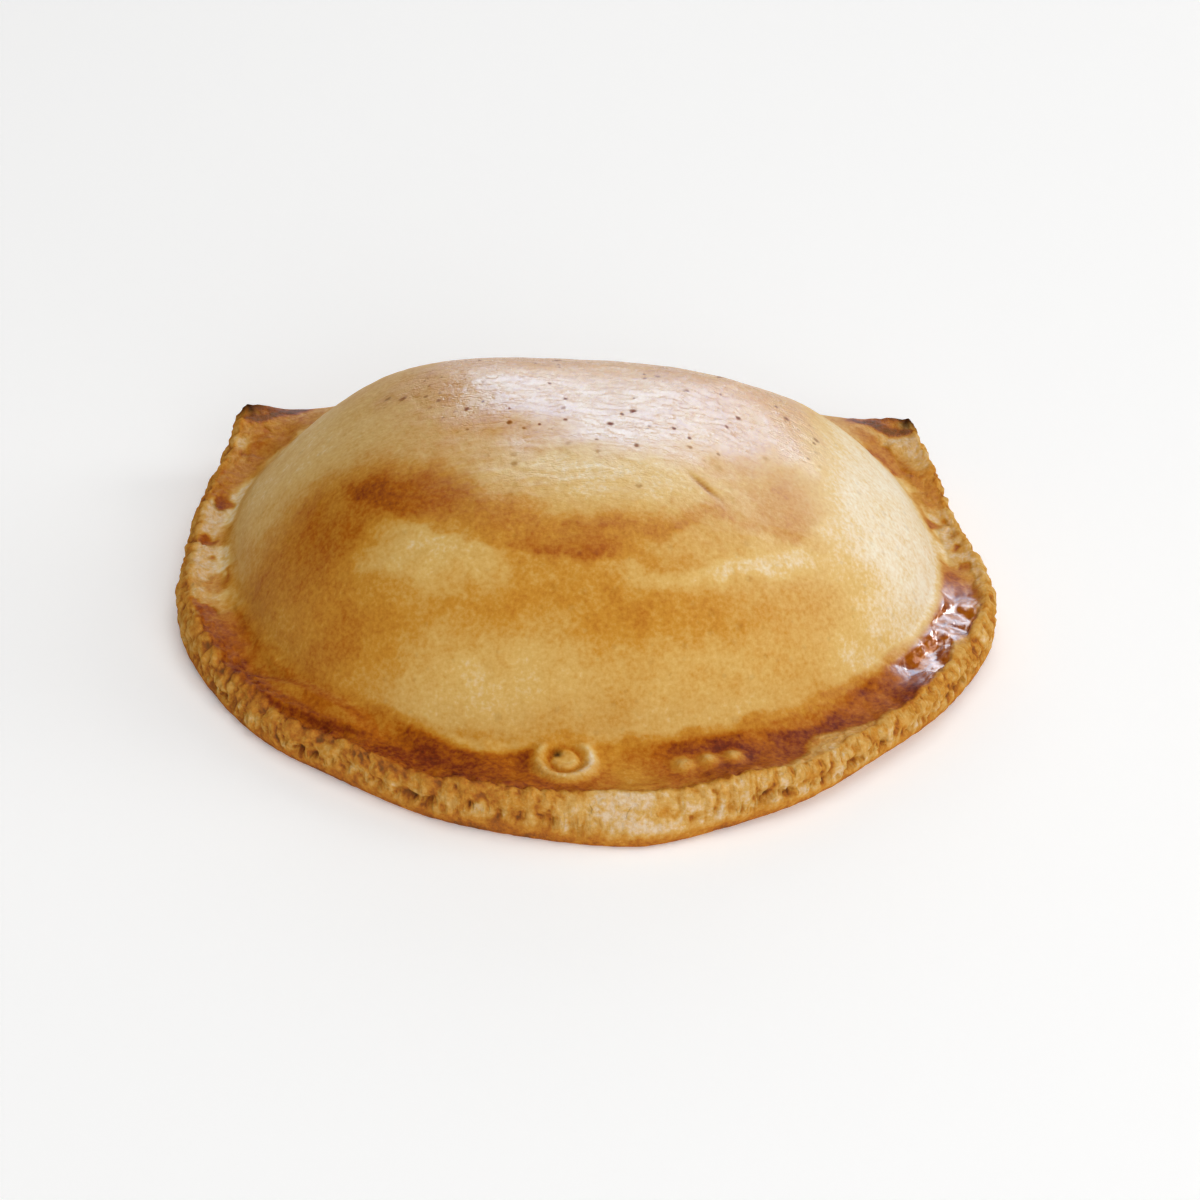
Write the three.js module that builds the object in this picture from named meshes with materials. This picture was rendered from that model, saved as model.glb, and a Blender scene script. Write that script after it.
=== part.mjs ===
// A baked empanada: one piece of dough folded over its filling, its open edge pressed into a rim.
// Millimetres, +Z up. X runs along the fold, -Y points to the nose of the rim and +Y to the fold.
// The origin is on the surface that the pastry lies on, under the middle of its outline.
//
// The crust is one closed skin. A ring of stations follows the outline, and at each station a section
// runs from the top of the dome, over the pressed band and the craggy wall of the rim, to the base.

import * as THREE from 'three';
import { mergeVertices } from 'three/addons/utils/BufferGeometryUtils.js';

// Driving dimensions of the whole pastry
const LENGTH = 118;
const DEPTH = 92;
const HEIGHT = 35;

// Outline: widest at the waist, a blunt nose off the middle, a sealed corner at each end of the fold
const HALF_LENGTH = LENGTH / 2;
const NOSE = new THREE.Vector2(5.5, -DEPTH / 2);
const WAIST_Y = 6;
const CORNER_X = 51;
const FOLD_Y = DEPTH / 2;
const FOLD_BOW = 0.6;
const FOLD_MIDDLE_X = -8;

// How far each curve of the outline and of the dome's foot is pulled from its two ends: outwards from
// the middle line, then along Y. The left half is fuller at the front than the right one.
const FRONT_PULLS = {
  right: { edge: [[16.5, 1.5], [1, -23]], foot: [[20, 0], [-3.5, -19]] },
  left: { edge: [[33.5, 0.5], [-4, -28]], foot: [[30, -0.5], [-3, -26]] },
};
const SIDE_PULLS = { edge: [[0.5, 13], [3, -13]], foot: [[2.5, 14], [8, -6.2]] };
const FOLD_PULLS = { edge: [[-15, FOLD_BOW], [16, 0]], foot: [[-7, 5.4], [20, 0]] };

// Dome: its peak in plan, its foot inside the rim, and the powers that shape it to rim and fold
const PEAK = new THREE.Vector2(-7, 4);
const FOOT_NOSE = new THREE.Vector2(0, NOSE.y + 13.5);
const FOOT_WAIST_X = HALF_LENGTH - 8.5;
const FOOT_CORNER = { x: CORNER_X - 9.5, y: FOLD_Y - 8.5 };
const FOOT_FOLD_Y = FOLD_Y - 2.5;
const RIM_SIDE_POWERS = { fullness: 2.2, shoulder: 0.75 };
const FOLD_SIDE_POWERS = { fullness: 3.4, shoulder: 1.05 };
const LUMP = { height: 0.4, pitch: 38, shift: 0.8 };

// Rim: the pressed band dips between the dome and the crest, and the wall stands below the crest
const BAND_DIP = 0.9;
const FOOT_HEIGHT = 7.4;
const CREST_HEIGHT = 7.4;
const CREST_INSET = 1.8;
const BOTTOM_INSET = 1.3;
const CRAG = { depth: 0.8, pitch: 1.7, rowSeed: 997 };

// Fold: the dough turns under in one round, highest behind the peak. The dome starts to rise to it at
// this share of the way from the waist to the middle of the fold.
const RISE_START = 0.15;
const FOLD_FOOT_HEIGHT = 18;
const FOLD_BULGE_HEIGHT = 11.5;
const FOLD_TUCK = 5;
const FOLD_BLEND = 0.45;

// Corners: flat ears of sealed dough, thin and lifted a little at the tip
const EAR_REACH = 14;
const EAR_LIFT = 4.6;
const EAR_UNDERCUT = 3.6;
const EAR_UNDERCUT_REACH = 9;

// Apron: a smooth sloping patch where the rim's wall spreads out below the nose
const APRON = { x: 4, halfWidth: 9, inset: 3.4, hollow: 1.2, smoothness: 0.7 };

// Press marks on the band: a round one, and three dots in a row
const ROUND_MARK = { x: -5, y: -36, radius: 3.1, lip: 0.85, height: 0.9, button: 1.1, buttonHeight: 0.6 };
const DOT_MARKS = [-3.4, 0, 3.4].map((step) => ({ x: 14.5 + step, y: -35.4 + 0.25 * step }));
const DOT_RADIUS = 1.2;
const DOT_HEIGHT = 0.8;

// Grid: stations along each stretch of the outline, and rows down each section
const FRONT_STATIONS = 52;
const FRONT_CROWDING = 1.5;
const SIDE_STATIONS = 20;
const FOLD_STATIONS = 15;
const DOME_ROWS = 12;
const BAND_ROWS = 9;
const WALL_ROWS = 6;
const BASE_STEPS = [0, 0.2, 0.6, 1];
const ROWS = DOME_ROWS + BAND_ROWS + WALL_ROWS + BASE_STEPS.length - 1;

const { lerp, smoothstep, seededRandom } = THREE.MathUtils;
const bell = (offset, width) => Math.exp(-((offset / width) ** 2));

// Uneven hand work: a few slow waves round the outline, each given as turns, size and start
const OUTLINE_WAVES = [[3, 0.3, 0.1], [7, 0.3, 0.62], [13, 0.22, 0.35]];
const CREST_WAVES = [[5, 0.35, 0.2], [11, 0.3, 0.75], [19, 0.25, 0.4]];

function wander(waves, share) {
  return waves.reduce(
    (sum, [turns, size, start]) => sum + size * Math.sin(2 * Math.PI * (turns * share + start)),
    0,
  );
}

// One half of the way round, from the nose to the middle of the fold; side is 1 on the right, -1 on
// the left. Each stretch has a curve for the outer edge and one for the foot of the dome beside it,
// and says where it begins on the way from the waist, at 0, to the middle of the fold, at 1.
function halfWay(side, frontPulls) {
  const at = (x, y) => new THREE.Vector2(side * x, y);
  const pulled = (end, [outwards, along]) => new THREE.Vector2(end.x + side * outwards, end.y + along);
  const curve = (from, to, [fromPull, toPull]) => new THREE.CubicBezierCurve(
    from, pulled(from, fromPull), pulled(to, toPull), to,
  );
  const waist = at(HALF_LENGTH, WAIST_Y);
  const corner = at(CORNER_X, FOLD_Y);
  const foldMiddle = new THREE.Vector2(FOLD_MIDDLE_X, FOLD_Y + FOLD_BOW);
  const footWaist = at(FOOT_WAIST_X, WAIST_Y);
  const footCorner = at(FOOT_CORNER.x, FOOT_CORNER.y);
  const footFoldMiddle = new THREE.Vector2(FOLD_MIDDLE_X, FOOT_FOLD_Y);
  return [
    {
      name: 'front',
      begins: -0.5,
      stations: FRONT_STATIONS,
      crowding: FRONT_CROWDING,
      edge: curve(NOSE, waist, frontPulls.edge),
      foot: curve(FOOT_NOSE, footWaist, frontPulls.foot),
    },
    {
      name: 'side',
      begins: 0,
      stations: SIDE_STATIONS,
      crowding: 1,
      edge: curve(waist, corner, SIDE_PULLS.edge),
      foot: curve(footWaist, footCorner, SIDE_PULLS.foot),
    },
    {
      name: 'fold',
      begins: 0.5,
      stations: FOLD_STATIONS,
      crowding: 1,
      edge: curve(corner, foldMiddle, FOLD_PULLS.edge),
      foot: curve(footCorner, footFoldMiddle, FOLD_PULLS.foot),
    },
  ];
}

const RIGHT_HALF = halfWay(1, FRONT_PULLS.right);
const LEFT_HALF = halfWay(-1, FRONT_PULLS.left);

// What the section needs to know at one place: along is the share of the stretch, from its nose end,
// and walked is the distance from the nose round the whole way of the given length
function stationAt({ stretch, along, walked }, wayLength) {
  const edge = stretch.edge.getPoint(along);
  const foot = stretch.foot.getPoint(along);
  const share = walked / wayLength;
  const toCorner = Math.hypot(Math.abs(edge.x) - CORNER_X, edge.y - FOLD_Y);
  const ear = bell(toCorner, EAR_REACH);
  const fold = stretch.name === 'fold' ? Math.sin(Math.min(1, along / FOLD_BLEND) * Math.PI / 2) : 0;
  const rise = smoothstep(stretch.begins + 0.5 * along, RISE_START, 1);
  const apron = stretch.name === 'front' ? bell(edge.x - APRON.x, APRON.halfWidth) : 0;
  const outward = edge.clone().sub(foot).normalize();
  edge.addScaledVector(outward, wander(OUTLINE_WAVES, share) * (1 - ear));
  return {
    walked,
    edge,
    foot,
    outward,
    fold,
    rise,
    apron,
    crestHeight: CREST_HEIGHT + wander(CREST_WAVES, share) * (1 - fold) + EAR_LIFT * ear,
    crestInset: CREST_INSET + APRON.inset * apron,
    footHeight: lerp(FOOT_HEIGHT, FOLD_FOOT_HEIGHT, rise),
    underside: EAR_UNDERCUT * bell(toCorner, EAR_UNDERCUT_REACH),
  };
}

// Stations anticlockwise from the nose: up the right half, then back down the left one
function walkRound() {
  const places = RIGHT_HALF.flatMap((stretch) => Array.from(
    { length: stretch.stations },
    (_, i) => ({ stretch, along: (i / stretch.stations) ** stretch.crowding }),
  ));
  const back = LEFT_HALF.toReversed().flatMap((stretch) => Array.from(
    { length: stretch.stations },
    (_, i) => ({ stretch, along: (1 - i / stretch.stations) ** stretch.crowding }),
  ));
  places.push(...back);
  let walked = 0;
  let last = NOSE;
  for (const place of places) {
    const here = place.stretch.edge.getPoint(place.along);
    walked += here.distanceTo(last);
    place.walked = walked;
    last = here;
  }
  return places.map((place) => stationAt(place, walked + last.distanceTo(NOSE)));
}

const raised = (plan, height) => new THREE.Vector3(plan.x, plan.y, height);
const edgeInset = (station, inset) => station.edge.clone().addScaledVector(station.outward, -inset);

// Raised round marks that the press leaves in the soft dough of the band
function pressRelief(x, y) {
  const fromRound = Math.hypot(x - ROUND_MARK.x, y - ROUND_MARK.y);
  const ring = bell(fromRound - ROUND_MARK.radius, ROUND_MARK.lip);
  const button = bell(fromRound, ROUND_MARK.button);
  const dots = DOT_MARKS.reduce((sum, dot) => sum + bell(Math.hypot(x - dot.x, y - dot.y), DOT_RADIUS), 0);
  return ROUND_MARK.height * ring + ROUND_MARK.buttonHeight * button + DOT_HEIGHT * dots;
}

// Top of the dome down to its foot: z falls as (1 - q^fullness)^shoulder, with q the share of the way
function domePoint(station, step) {
  const q = Math.sin(step * Math.PI / 2);
  const fullness = lerp(RIM_SIDE_POWERS.fullness, FOLD_SIDE_POWERS.fullness, station.rise);
  const shoulder = lerp(RIM_SIDE_POWERS.shoulder, FOLD_SIDE_POWERS.shoulder, station.rise);
  const fall = Math.max(0, 1 - q ** fullness) ** shoulder;
  const plan = PEAK.clone().lerp(station.foot, q);
  const lump = LUMP.height * fall * Math.sin(2 * Math.PI * plan.x / LUMP.pitch + LUMP.shift)
    * Math.cos(2 * Math.PI * plan.y / LUMP.pitch);
  return raised(plan, lerp(station.footHeight, HEIGHT, fall) + lump);
}

// Foot of the dome out to the crest of the rim, dipping between them; at the fold it rounds over
function bandPoint(station, step) {
  const rimPlan = station.foot.clone().lerp(edgeInset(station, station.crestInset), step);
  const dip = BAND_DIP * Math.sin(Math.PI * step);
  const rimHeight = lerp(station.footHeight, station.crestHeight, step) - dip;
  const foldPlan = station.foot.clone().lerp(station.edge, Math.sin(step * Math.PI / 2));
  const foldHeight = lerp(station.footHeight, FOLD_BULGE_HEIGHT, step);
  const plan = rimPlan.lerp(foldPlan, station.fold);
  return raised(plan, lerp(rimHeight, foldHeight, station.fold) + pressRelief(plan.x, plan.y));
}

// Crumbs and ribs of the wall: random depths at an even pitch along each row, joined smoothly
function cragAt(walked, row) {
  const place = walked / CRAG.pitch;
  const post = Math.floor(place);
  const depthAt = (index) => seededRandom(1 + row * CRAG.rowSeed + index);
  return CRAG.depth * lerp(depthAt(post), depthAt(post + 1), smoothstep(place - post, 0, 1));
}

// Crest down to the base: a craggy upright wall along the rim, a smooth turn under at the fold
function wallPoint(station, step, row) {
  const upper = Math.max(0, 1 - 2 * step) ** 2;
  const lower = Math.max(0, 2 * step - 1) ** 2;
  const slope = station.apron * APRON.inset * (1 - step) ** APRON.hollow;
  const rimInset = CREST_INSET * upper + BOTTOM_INSET * lower + slope;
  const middle = Math.sin(Math.PI * step) * (1 - station.fold) * (1 - APRON.smoothness * station.apron);
  const inset = lerp(rimInset, FOLD_TUCK * step ** 2, station.fold) + middle * cragAt(station.walked, row);
  const top = lerp(station.crestHeight, FOLD_BULGE_HEIGHT, station.fold);
  return raised(edgeInset(station, inset), lerp(top, station.underside, step));
}

// Flat underside, from the foot of the wall to its middle; only the ears come down to it from outside
function basePoint(station, row) {
  const rim = edgeInset(station, lerp(BOTTOM_INSET, FOLD_TUCK, station.fold));
  return raised(rim.lerp(PEAK, BASE_STEPS[row]), row === 0 ? station.underside : 0);
}

function crustPoint(station, row) {
  const wallStart = DOME_ROWS + BAND_ROWS;
  const baseStart = wallStart + WALL_ROWS;
  if (row <= DOME_ROWS) return domePoint(station, row / DOME_ROWS);
  if (row <= wallStart) return bandPoint(station, (row - DOME_ROWS) / BAND_ROWS);
  if (row <= baseStart) return wallPoint(station, (row - wallStart) / WALL_ROWS, row);
  return basePoint(station, row - baseStart);
}

// A sphere's grid of columns and rows is carried onto the crust and closed at its seam and poles
function crustGeometry() {
  const stations = walkRound();
  const sphere = new THREE.SphereGeometry(1, stations.length, ROWS);
  const position = sphere.attributes.position;
  for (let row = 0; row <= ROWS; row += 1) {
    for (let column = 0; column <= stations.length; column += 1) {
      const point = crustPoint(stations[column % stations.length], row);
      position.setXYZ(row * (stations.length + 1) + column, point.x, point.y, point.z);
    }
  }
  sphere.deleteAttribute('normal');
  sphere.deleteAttribute('uv');
  const skin = mergeVertices(sphere);
  skin.computeBoundingBox();
  const { min, max } = skin.boundingBox;
  skin.translate(-(min.x + max.x) / 2, -(min.y + max.y) / 2, -min.z);
  skin.computeVertexNormals();
  return skin;
}

const crustMaterial = new THREE.MeshStandardMaterial({ color: 0xc98f45, roughness: 0.42, metalness: 0 });
const crust = new THREE.Mesh(crustGeometry(), crustMaterial);
crust.name = 'empanada_crust';

const empanada = new THREE.Group();
empanada.add(crust);

export default empanada;
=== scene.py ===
"""Looks of a baked empanada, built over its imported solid.

The pastry is one piece of dough, so its crust is one closed mesh. The form repeats the sections of the
solid on a finer grid: stations run round the outline, and rows run from the top of the dome over the
pressed band and the wall of the rim to the middle of the base. Relief is laid on along the normals, and
every vertex keeps a few shares between 0 and 1, such as how brown it is, which the finish reads.

Sizes of the pastry are millimetres until a mesh is written. Blender's own objects are in metres.
"""

import itertools
import logging
import math
from dataclasses import dataclass, field, fields
from enum import Enum

import bpy
import numpy as np
from mathutils import Euler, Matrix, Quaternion, Vector


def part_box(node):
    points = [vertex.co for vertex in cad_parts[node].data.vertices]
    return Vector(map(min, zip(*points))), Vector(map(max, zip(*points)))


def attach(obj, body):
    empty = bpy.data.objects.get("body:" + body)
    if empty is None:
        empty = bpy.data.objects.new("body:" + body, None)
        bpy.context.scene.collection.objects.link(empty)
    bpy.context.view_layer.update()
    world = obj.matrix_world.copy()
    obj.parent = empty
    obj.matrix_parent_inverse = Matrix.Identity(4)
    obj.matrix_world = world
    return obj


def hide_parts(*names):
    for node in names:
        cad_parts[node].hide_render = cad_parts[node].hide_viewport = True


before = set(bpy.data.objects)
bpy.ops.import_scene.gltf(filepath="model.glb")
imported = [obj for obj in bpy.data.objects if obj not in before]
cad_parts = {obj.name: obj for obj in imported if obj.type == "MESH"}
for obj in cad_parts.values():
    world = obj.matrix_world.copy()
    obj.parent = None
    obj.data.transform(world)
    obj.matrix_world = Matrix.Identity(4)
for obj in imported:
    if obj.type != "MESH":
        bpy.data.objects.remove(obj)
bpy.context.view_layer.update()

Array = np.ndarray
Pair = tuple[float, float]
Colour = tuple[float, float, float]

MILLIMETRE = 0.001
CAD_NODE = "empanada_crust"
NOISE_GAIN = 1.7
CREASE_GAIN = 1.6
FOOT_FADE: Pair = (-0.7, 0.9)
CREST_FADE: Pair = (-0.6, 0.6)
GROUND_FADE: Pair = (-0.3, 0.5)
log = logging.getLogger("empanada")


def bell(offset: Array, width: Array | float) -> Array:
    """Bell curve exp(-(offset / width)^2), 1 at no offset."""
    return np.exp(-((offset / width) ** 2))


def spot(points: Array, centre: Pair, reach: Pair) -> Array:
    """Soft spot in plan: a bell along X times a bell along Y."""
    return bell(points[:, 0] - centre[0], reach[0]) * bell(points[:, 1] - centre[1], reach[1])


def blend(start: Array | float, end: Array | float, share: Array | float) -> Array:
    """Straight mix: start at share 0, end at share 1."""
    return start + (end - start) * share


def ease(value: Array, low: Array | float, high: Array | float) -> Array:
    """Smooth step 3t^2 - 2t^3, from 0 where the value is low to 1 where it is high."""
    share = np.clip((value - low) / (high - low), 0.0, 1.0)
    return share * share * (3.0 - 2.0 * share)


def linear(red: int, green: int, blue: int) -> Colour:
    """Linear colour of an 8-bit screen colour, by the usual screen curve."""
    shares = (red / 255.0, green / 255.0, blue / 255.0)
    return tuple(s / 12.92 if s <= 0.04045 else ((s + 0.055) / 1.055) ** 2.4 for s in shares)


@dataclass(frozen=True)
class Noise:
    """Seeded noise over points in space, the same on every run."""

    seed: int

    def _random(self, cells: Array) -> Array:
        """Three random shares for each lattice corner, by mixing its whole numbers with shifts and
        products.

        Args:
            cells: whole-number corners, shape (..., 3).

        Returns:
            Shares between 0 and 1, shape (..., 3).
        """
        whole = cells.astype(np.uint64)
        mixed = whole[..., 0] * np.uint64(0x9E3779B97F4A7C15)
        mixed ^= whole[..., 1] * np.uint64(0xC2B2AE3D27D4EB4F)
        mixed ^= whole[..., 2] * np.uint64(0x165667B19E3779F9)
        mixed += np.uint64(self.seed * 7919 + 1)
        mixed ^= mixed >> np.uint64(31)
        mixed *= np.uint64(0xBF58476D1CE4E5B9)
        mixed ^= mixed >> np.uint64(29)
        mixed *= np.uint64(0x94D049BB133111EB)
        mixed ^= mixed >> np.uint64(32)
        parts = [(mixed >> np.uint64(shift)) & np.uint64(0xFFFF) for shift in (4, 22, 44)]
        return np.stack(parts, axis=-1) / 65535.0

    def smooth(self, points: Array, pitch: float) -> Array:
        """Gradient noise: every corner of a cubic lattice has a random slope, and the eight slopes round a
        point are mixed by 6t^5 - 15t^4 + 10t^3.

        Args:
            points: places, shape (..., 3).
            pitch: size of a lattice cell.

        Returns:
            Values of about -1 to 1, shape (...).
        """
        place = points / pitch
        cell = np.floor(place).astype(np.int64)
        part = place - cell
        fade = part**3 * (part * (6.0 * part - 15.0) + 10.0)
        total = np.zeros(place.shape[:-1])
        for corner in itertools.product((0, 1), repeat=3):
            step = np.array(corner)
            slope = self._random(cell + step) * 2.0 - 1.0
            weight = np.prod(np.where(step == 1, fade, 1.0 - fade), axis=-1)
            total += weight * np.sum(slope * (part - step), axis=-1)
        return total * NOISE_GAIN

    def _layers(self, points: Array, pitch: float, octaves: int, shift: float) -> Array:
        """Smooth noise at the pitch, half of it, a quarter of it and so on, each half as strong.

        Args:
            points: places, shape (..., 3).
            pitch: size of a lattice cell of the first layer.
            octaves: number of layers.
            shift: how far each layer is moved on from the one before.

        Returns:
            The layers, shape (octaves, ...).
        """
        halves = [0.5**level for level in range(octaves)]
        layers = [self.smooth(points + shift * level, pitch * half) for level, half in enumerate(halves)]
        return np.stack([half * layer for half, layer in zip(halves, layers)])

    def cloudy(self, points: Array, pitch: float, octaves: int = 3) -> Array:
        """Sum of layers of smooth noise."""
        return np.sum(self._layers(points, pitch, octaves, shift=31.7), axis=0)

    def creases(self, points: Array, pitch: float) -> Array:
        """Thin lines: 1 where smooth noise crosses zero, falling to 0 away from it."""
        return 1.0 - np.abs(np.clip(self.smooth(points, pitch) * CREASE_GAIN, -1.0, 1.0))

    def billows(self, points: Array, pitch: float, octaves: int = 3) -> Array:
        """Uneven round lumps with sharp creases between them: layers of noise without their sign."""
        return np.sum(np.abs(self._layers(points, pitch, octaves, shift=17.3)), axis=0)

    def pebbles(self, points: Array, pitch: float) -> Array:
        """Scatter of one random point per lattice cell.

        Args:
            points: places, shape (..., 3).
            pitch: size of a lattice cell.

        Returns:
            Distance to the nearest scattered point, in pitches.
        """
        place = points / pitch
        cell = np.floor(place).astype(np.int64)
        part = place - cell
        nearest = np.full(place.shape[:-1], np.inf)
        for corner in itertools.product((-1, 0, 1), repeat=3):
            step = np.array(corner)
            away = np.linalg.norm(step + self._random(cell + step) - part, axis=-1)
            nearest = np.minimum(nearest, away)
        return nearest


@dataclass(frozen=True)
class Cloud:
    """Cloudy noise with a strength; a single octave of it is smooth."""

    seed: int
    strength: float
    pitch: float
    octaves: int = 3

    def at(self, points: Array) -> Array:
        """Its value at every point."""
        return self.strength * Noise(self.seed).cloudy(points, self.pitch, self.octaves)


class Stretch(Enum):
    """Stretches of one half of the outline, from the nose to the middle of the fold; the value is where
    each begins on the way from the waist, at 0, to the middle of the fold, at 1."""

    FRONT = -0.5
    SIDE = 0.0
    FOLD = 0.5


@dataclass(frozen=True)
class Bend:
    """A cubic curve in plan: two ends, and how far the handle of each is pulled from it."""

    start: Pair
    end: Pair
    start_pull: Pair
    end_pull: Pair

    def at(self, along: Array) -> Array:
        """Points (1-t)^3 A + 3(1-t)^2 t B + 3(1-t) t^2 C + t^3 D of the curve.

        Args:
            along: shares t of the way.

        Returns:
            Points in plan, shape (n, 2).
        """
        first, last = np.array(self.start), np.array(self.end)
        handles = (first, first + self.start_pull, last + self.end_pull, last)
        share = np.asarray(along)[:, None]
        weights = ((1 - share) ** 3, 3 * (1 - share) ** 2 * share, 3 * (1 - share) * share**2, share**3)
        return sum(weight * handle for weight, handle in zip(weights, handles))

    def _runs(self) -> tuple[Array, Array]:
        """Fine shares of the way and the distance along the curve at each.

        Returns:
            The shares and the distances.
        """
        shares = np.linspace(0.0, 1.0, 801)
        steps = np.linalg.norm(np.diff(self.at(shares), axis=0), axis=-1)
        return shares, np.concatenate([[0.0], np.cumsum(steps)])

    def length(self) -> float:
        """Length of the curve."""
        return float(self._runs()[1][-1])

    def evenly(self, parts: Array) -> Array:
        """Shares t of the way at which given parts of the curve's length are reached."""
        shares, runs = self._runs()
        return np.interp(parts * runs[-1], runs, shares)


@dataclass(frozen=True)
class Span:
    """A stretch of the rim: its middle, as the distance walked from the nose and negative on the left half,
    how far it reaches to both sides, and the change that it brings."""

    middle: float
    reach: float
    change: float = 1.0

    def over(self, walked: Array) -> Array:
        """The change: full in the middle, falling off as a bell."""
        return self.change * bell(walked - self.middle, self.reach)


@dataclass(frozen=True)
class Stations:
    """What a section needs to know at each station of the way round, one entry each."""

    walked: Array
    edge: Array
    foot: Array
    outward: Array
    fold: Array
    rise: Array
    apron: Array
    ear: Array
    crest_height: Array
    crest_inset: Array
    foot_height: Array
    underside: Array

    def at(self, column: Array) -> "Stations":
        """Stations at places between these, each a straight mix of its two neighbours on the closed way.

        Args:
            column: place of every new station, counted in these.

        Returns:
            The new stations; their walked distance is the nearer neighbour's, as it jumps where the way
            closes.
        """
        count = len(self.walked)
        before = np.floor(column).astype(int)
        share = column - before
        first, second = before % count, (before + 1) % count
        mixed = {}
        for entry in fields(self):
            values = getattr(self, entry.name)
            part = share[:, None] if values.ndim == 2 else share
            mixed[entry.name] = blend(values[first], values[second], part)
        mixed["walked"] = self.walked[np.where(share < 0.5, first, second)]
        return Stations(**mixed)

    def joined(self, other: "Stations", rows: int) -> "Stations":
        """These stations, then another set repeated for a number of rows, and the first of that set again.

        Args:
            other: the set that follows.
            rows: how often it is repeated.

        Returns:
            All of them in one set.
        """
        together = {}
        for entry in fields(self):
            mine, theirs = getattr(self, entry.name), getattr(other, entry.name)
            repeated = np.tile(theirs, (rows, 1)) if theirs.ndim == 2 else np.tile(theirs, rows)
            together[entry.name] = np.concatenate([mine, repeated, theirs[:1]])
        return Stations(**together)


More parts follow.
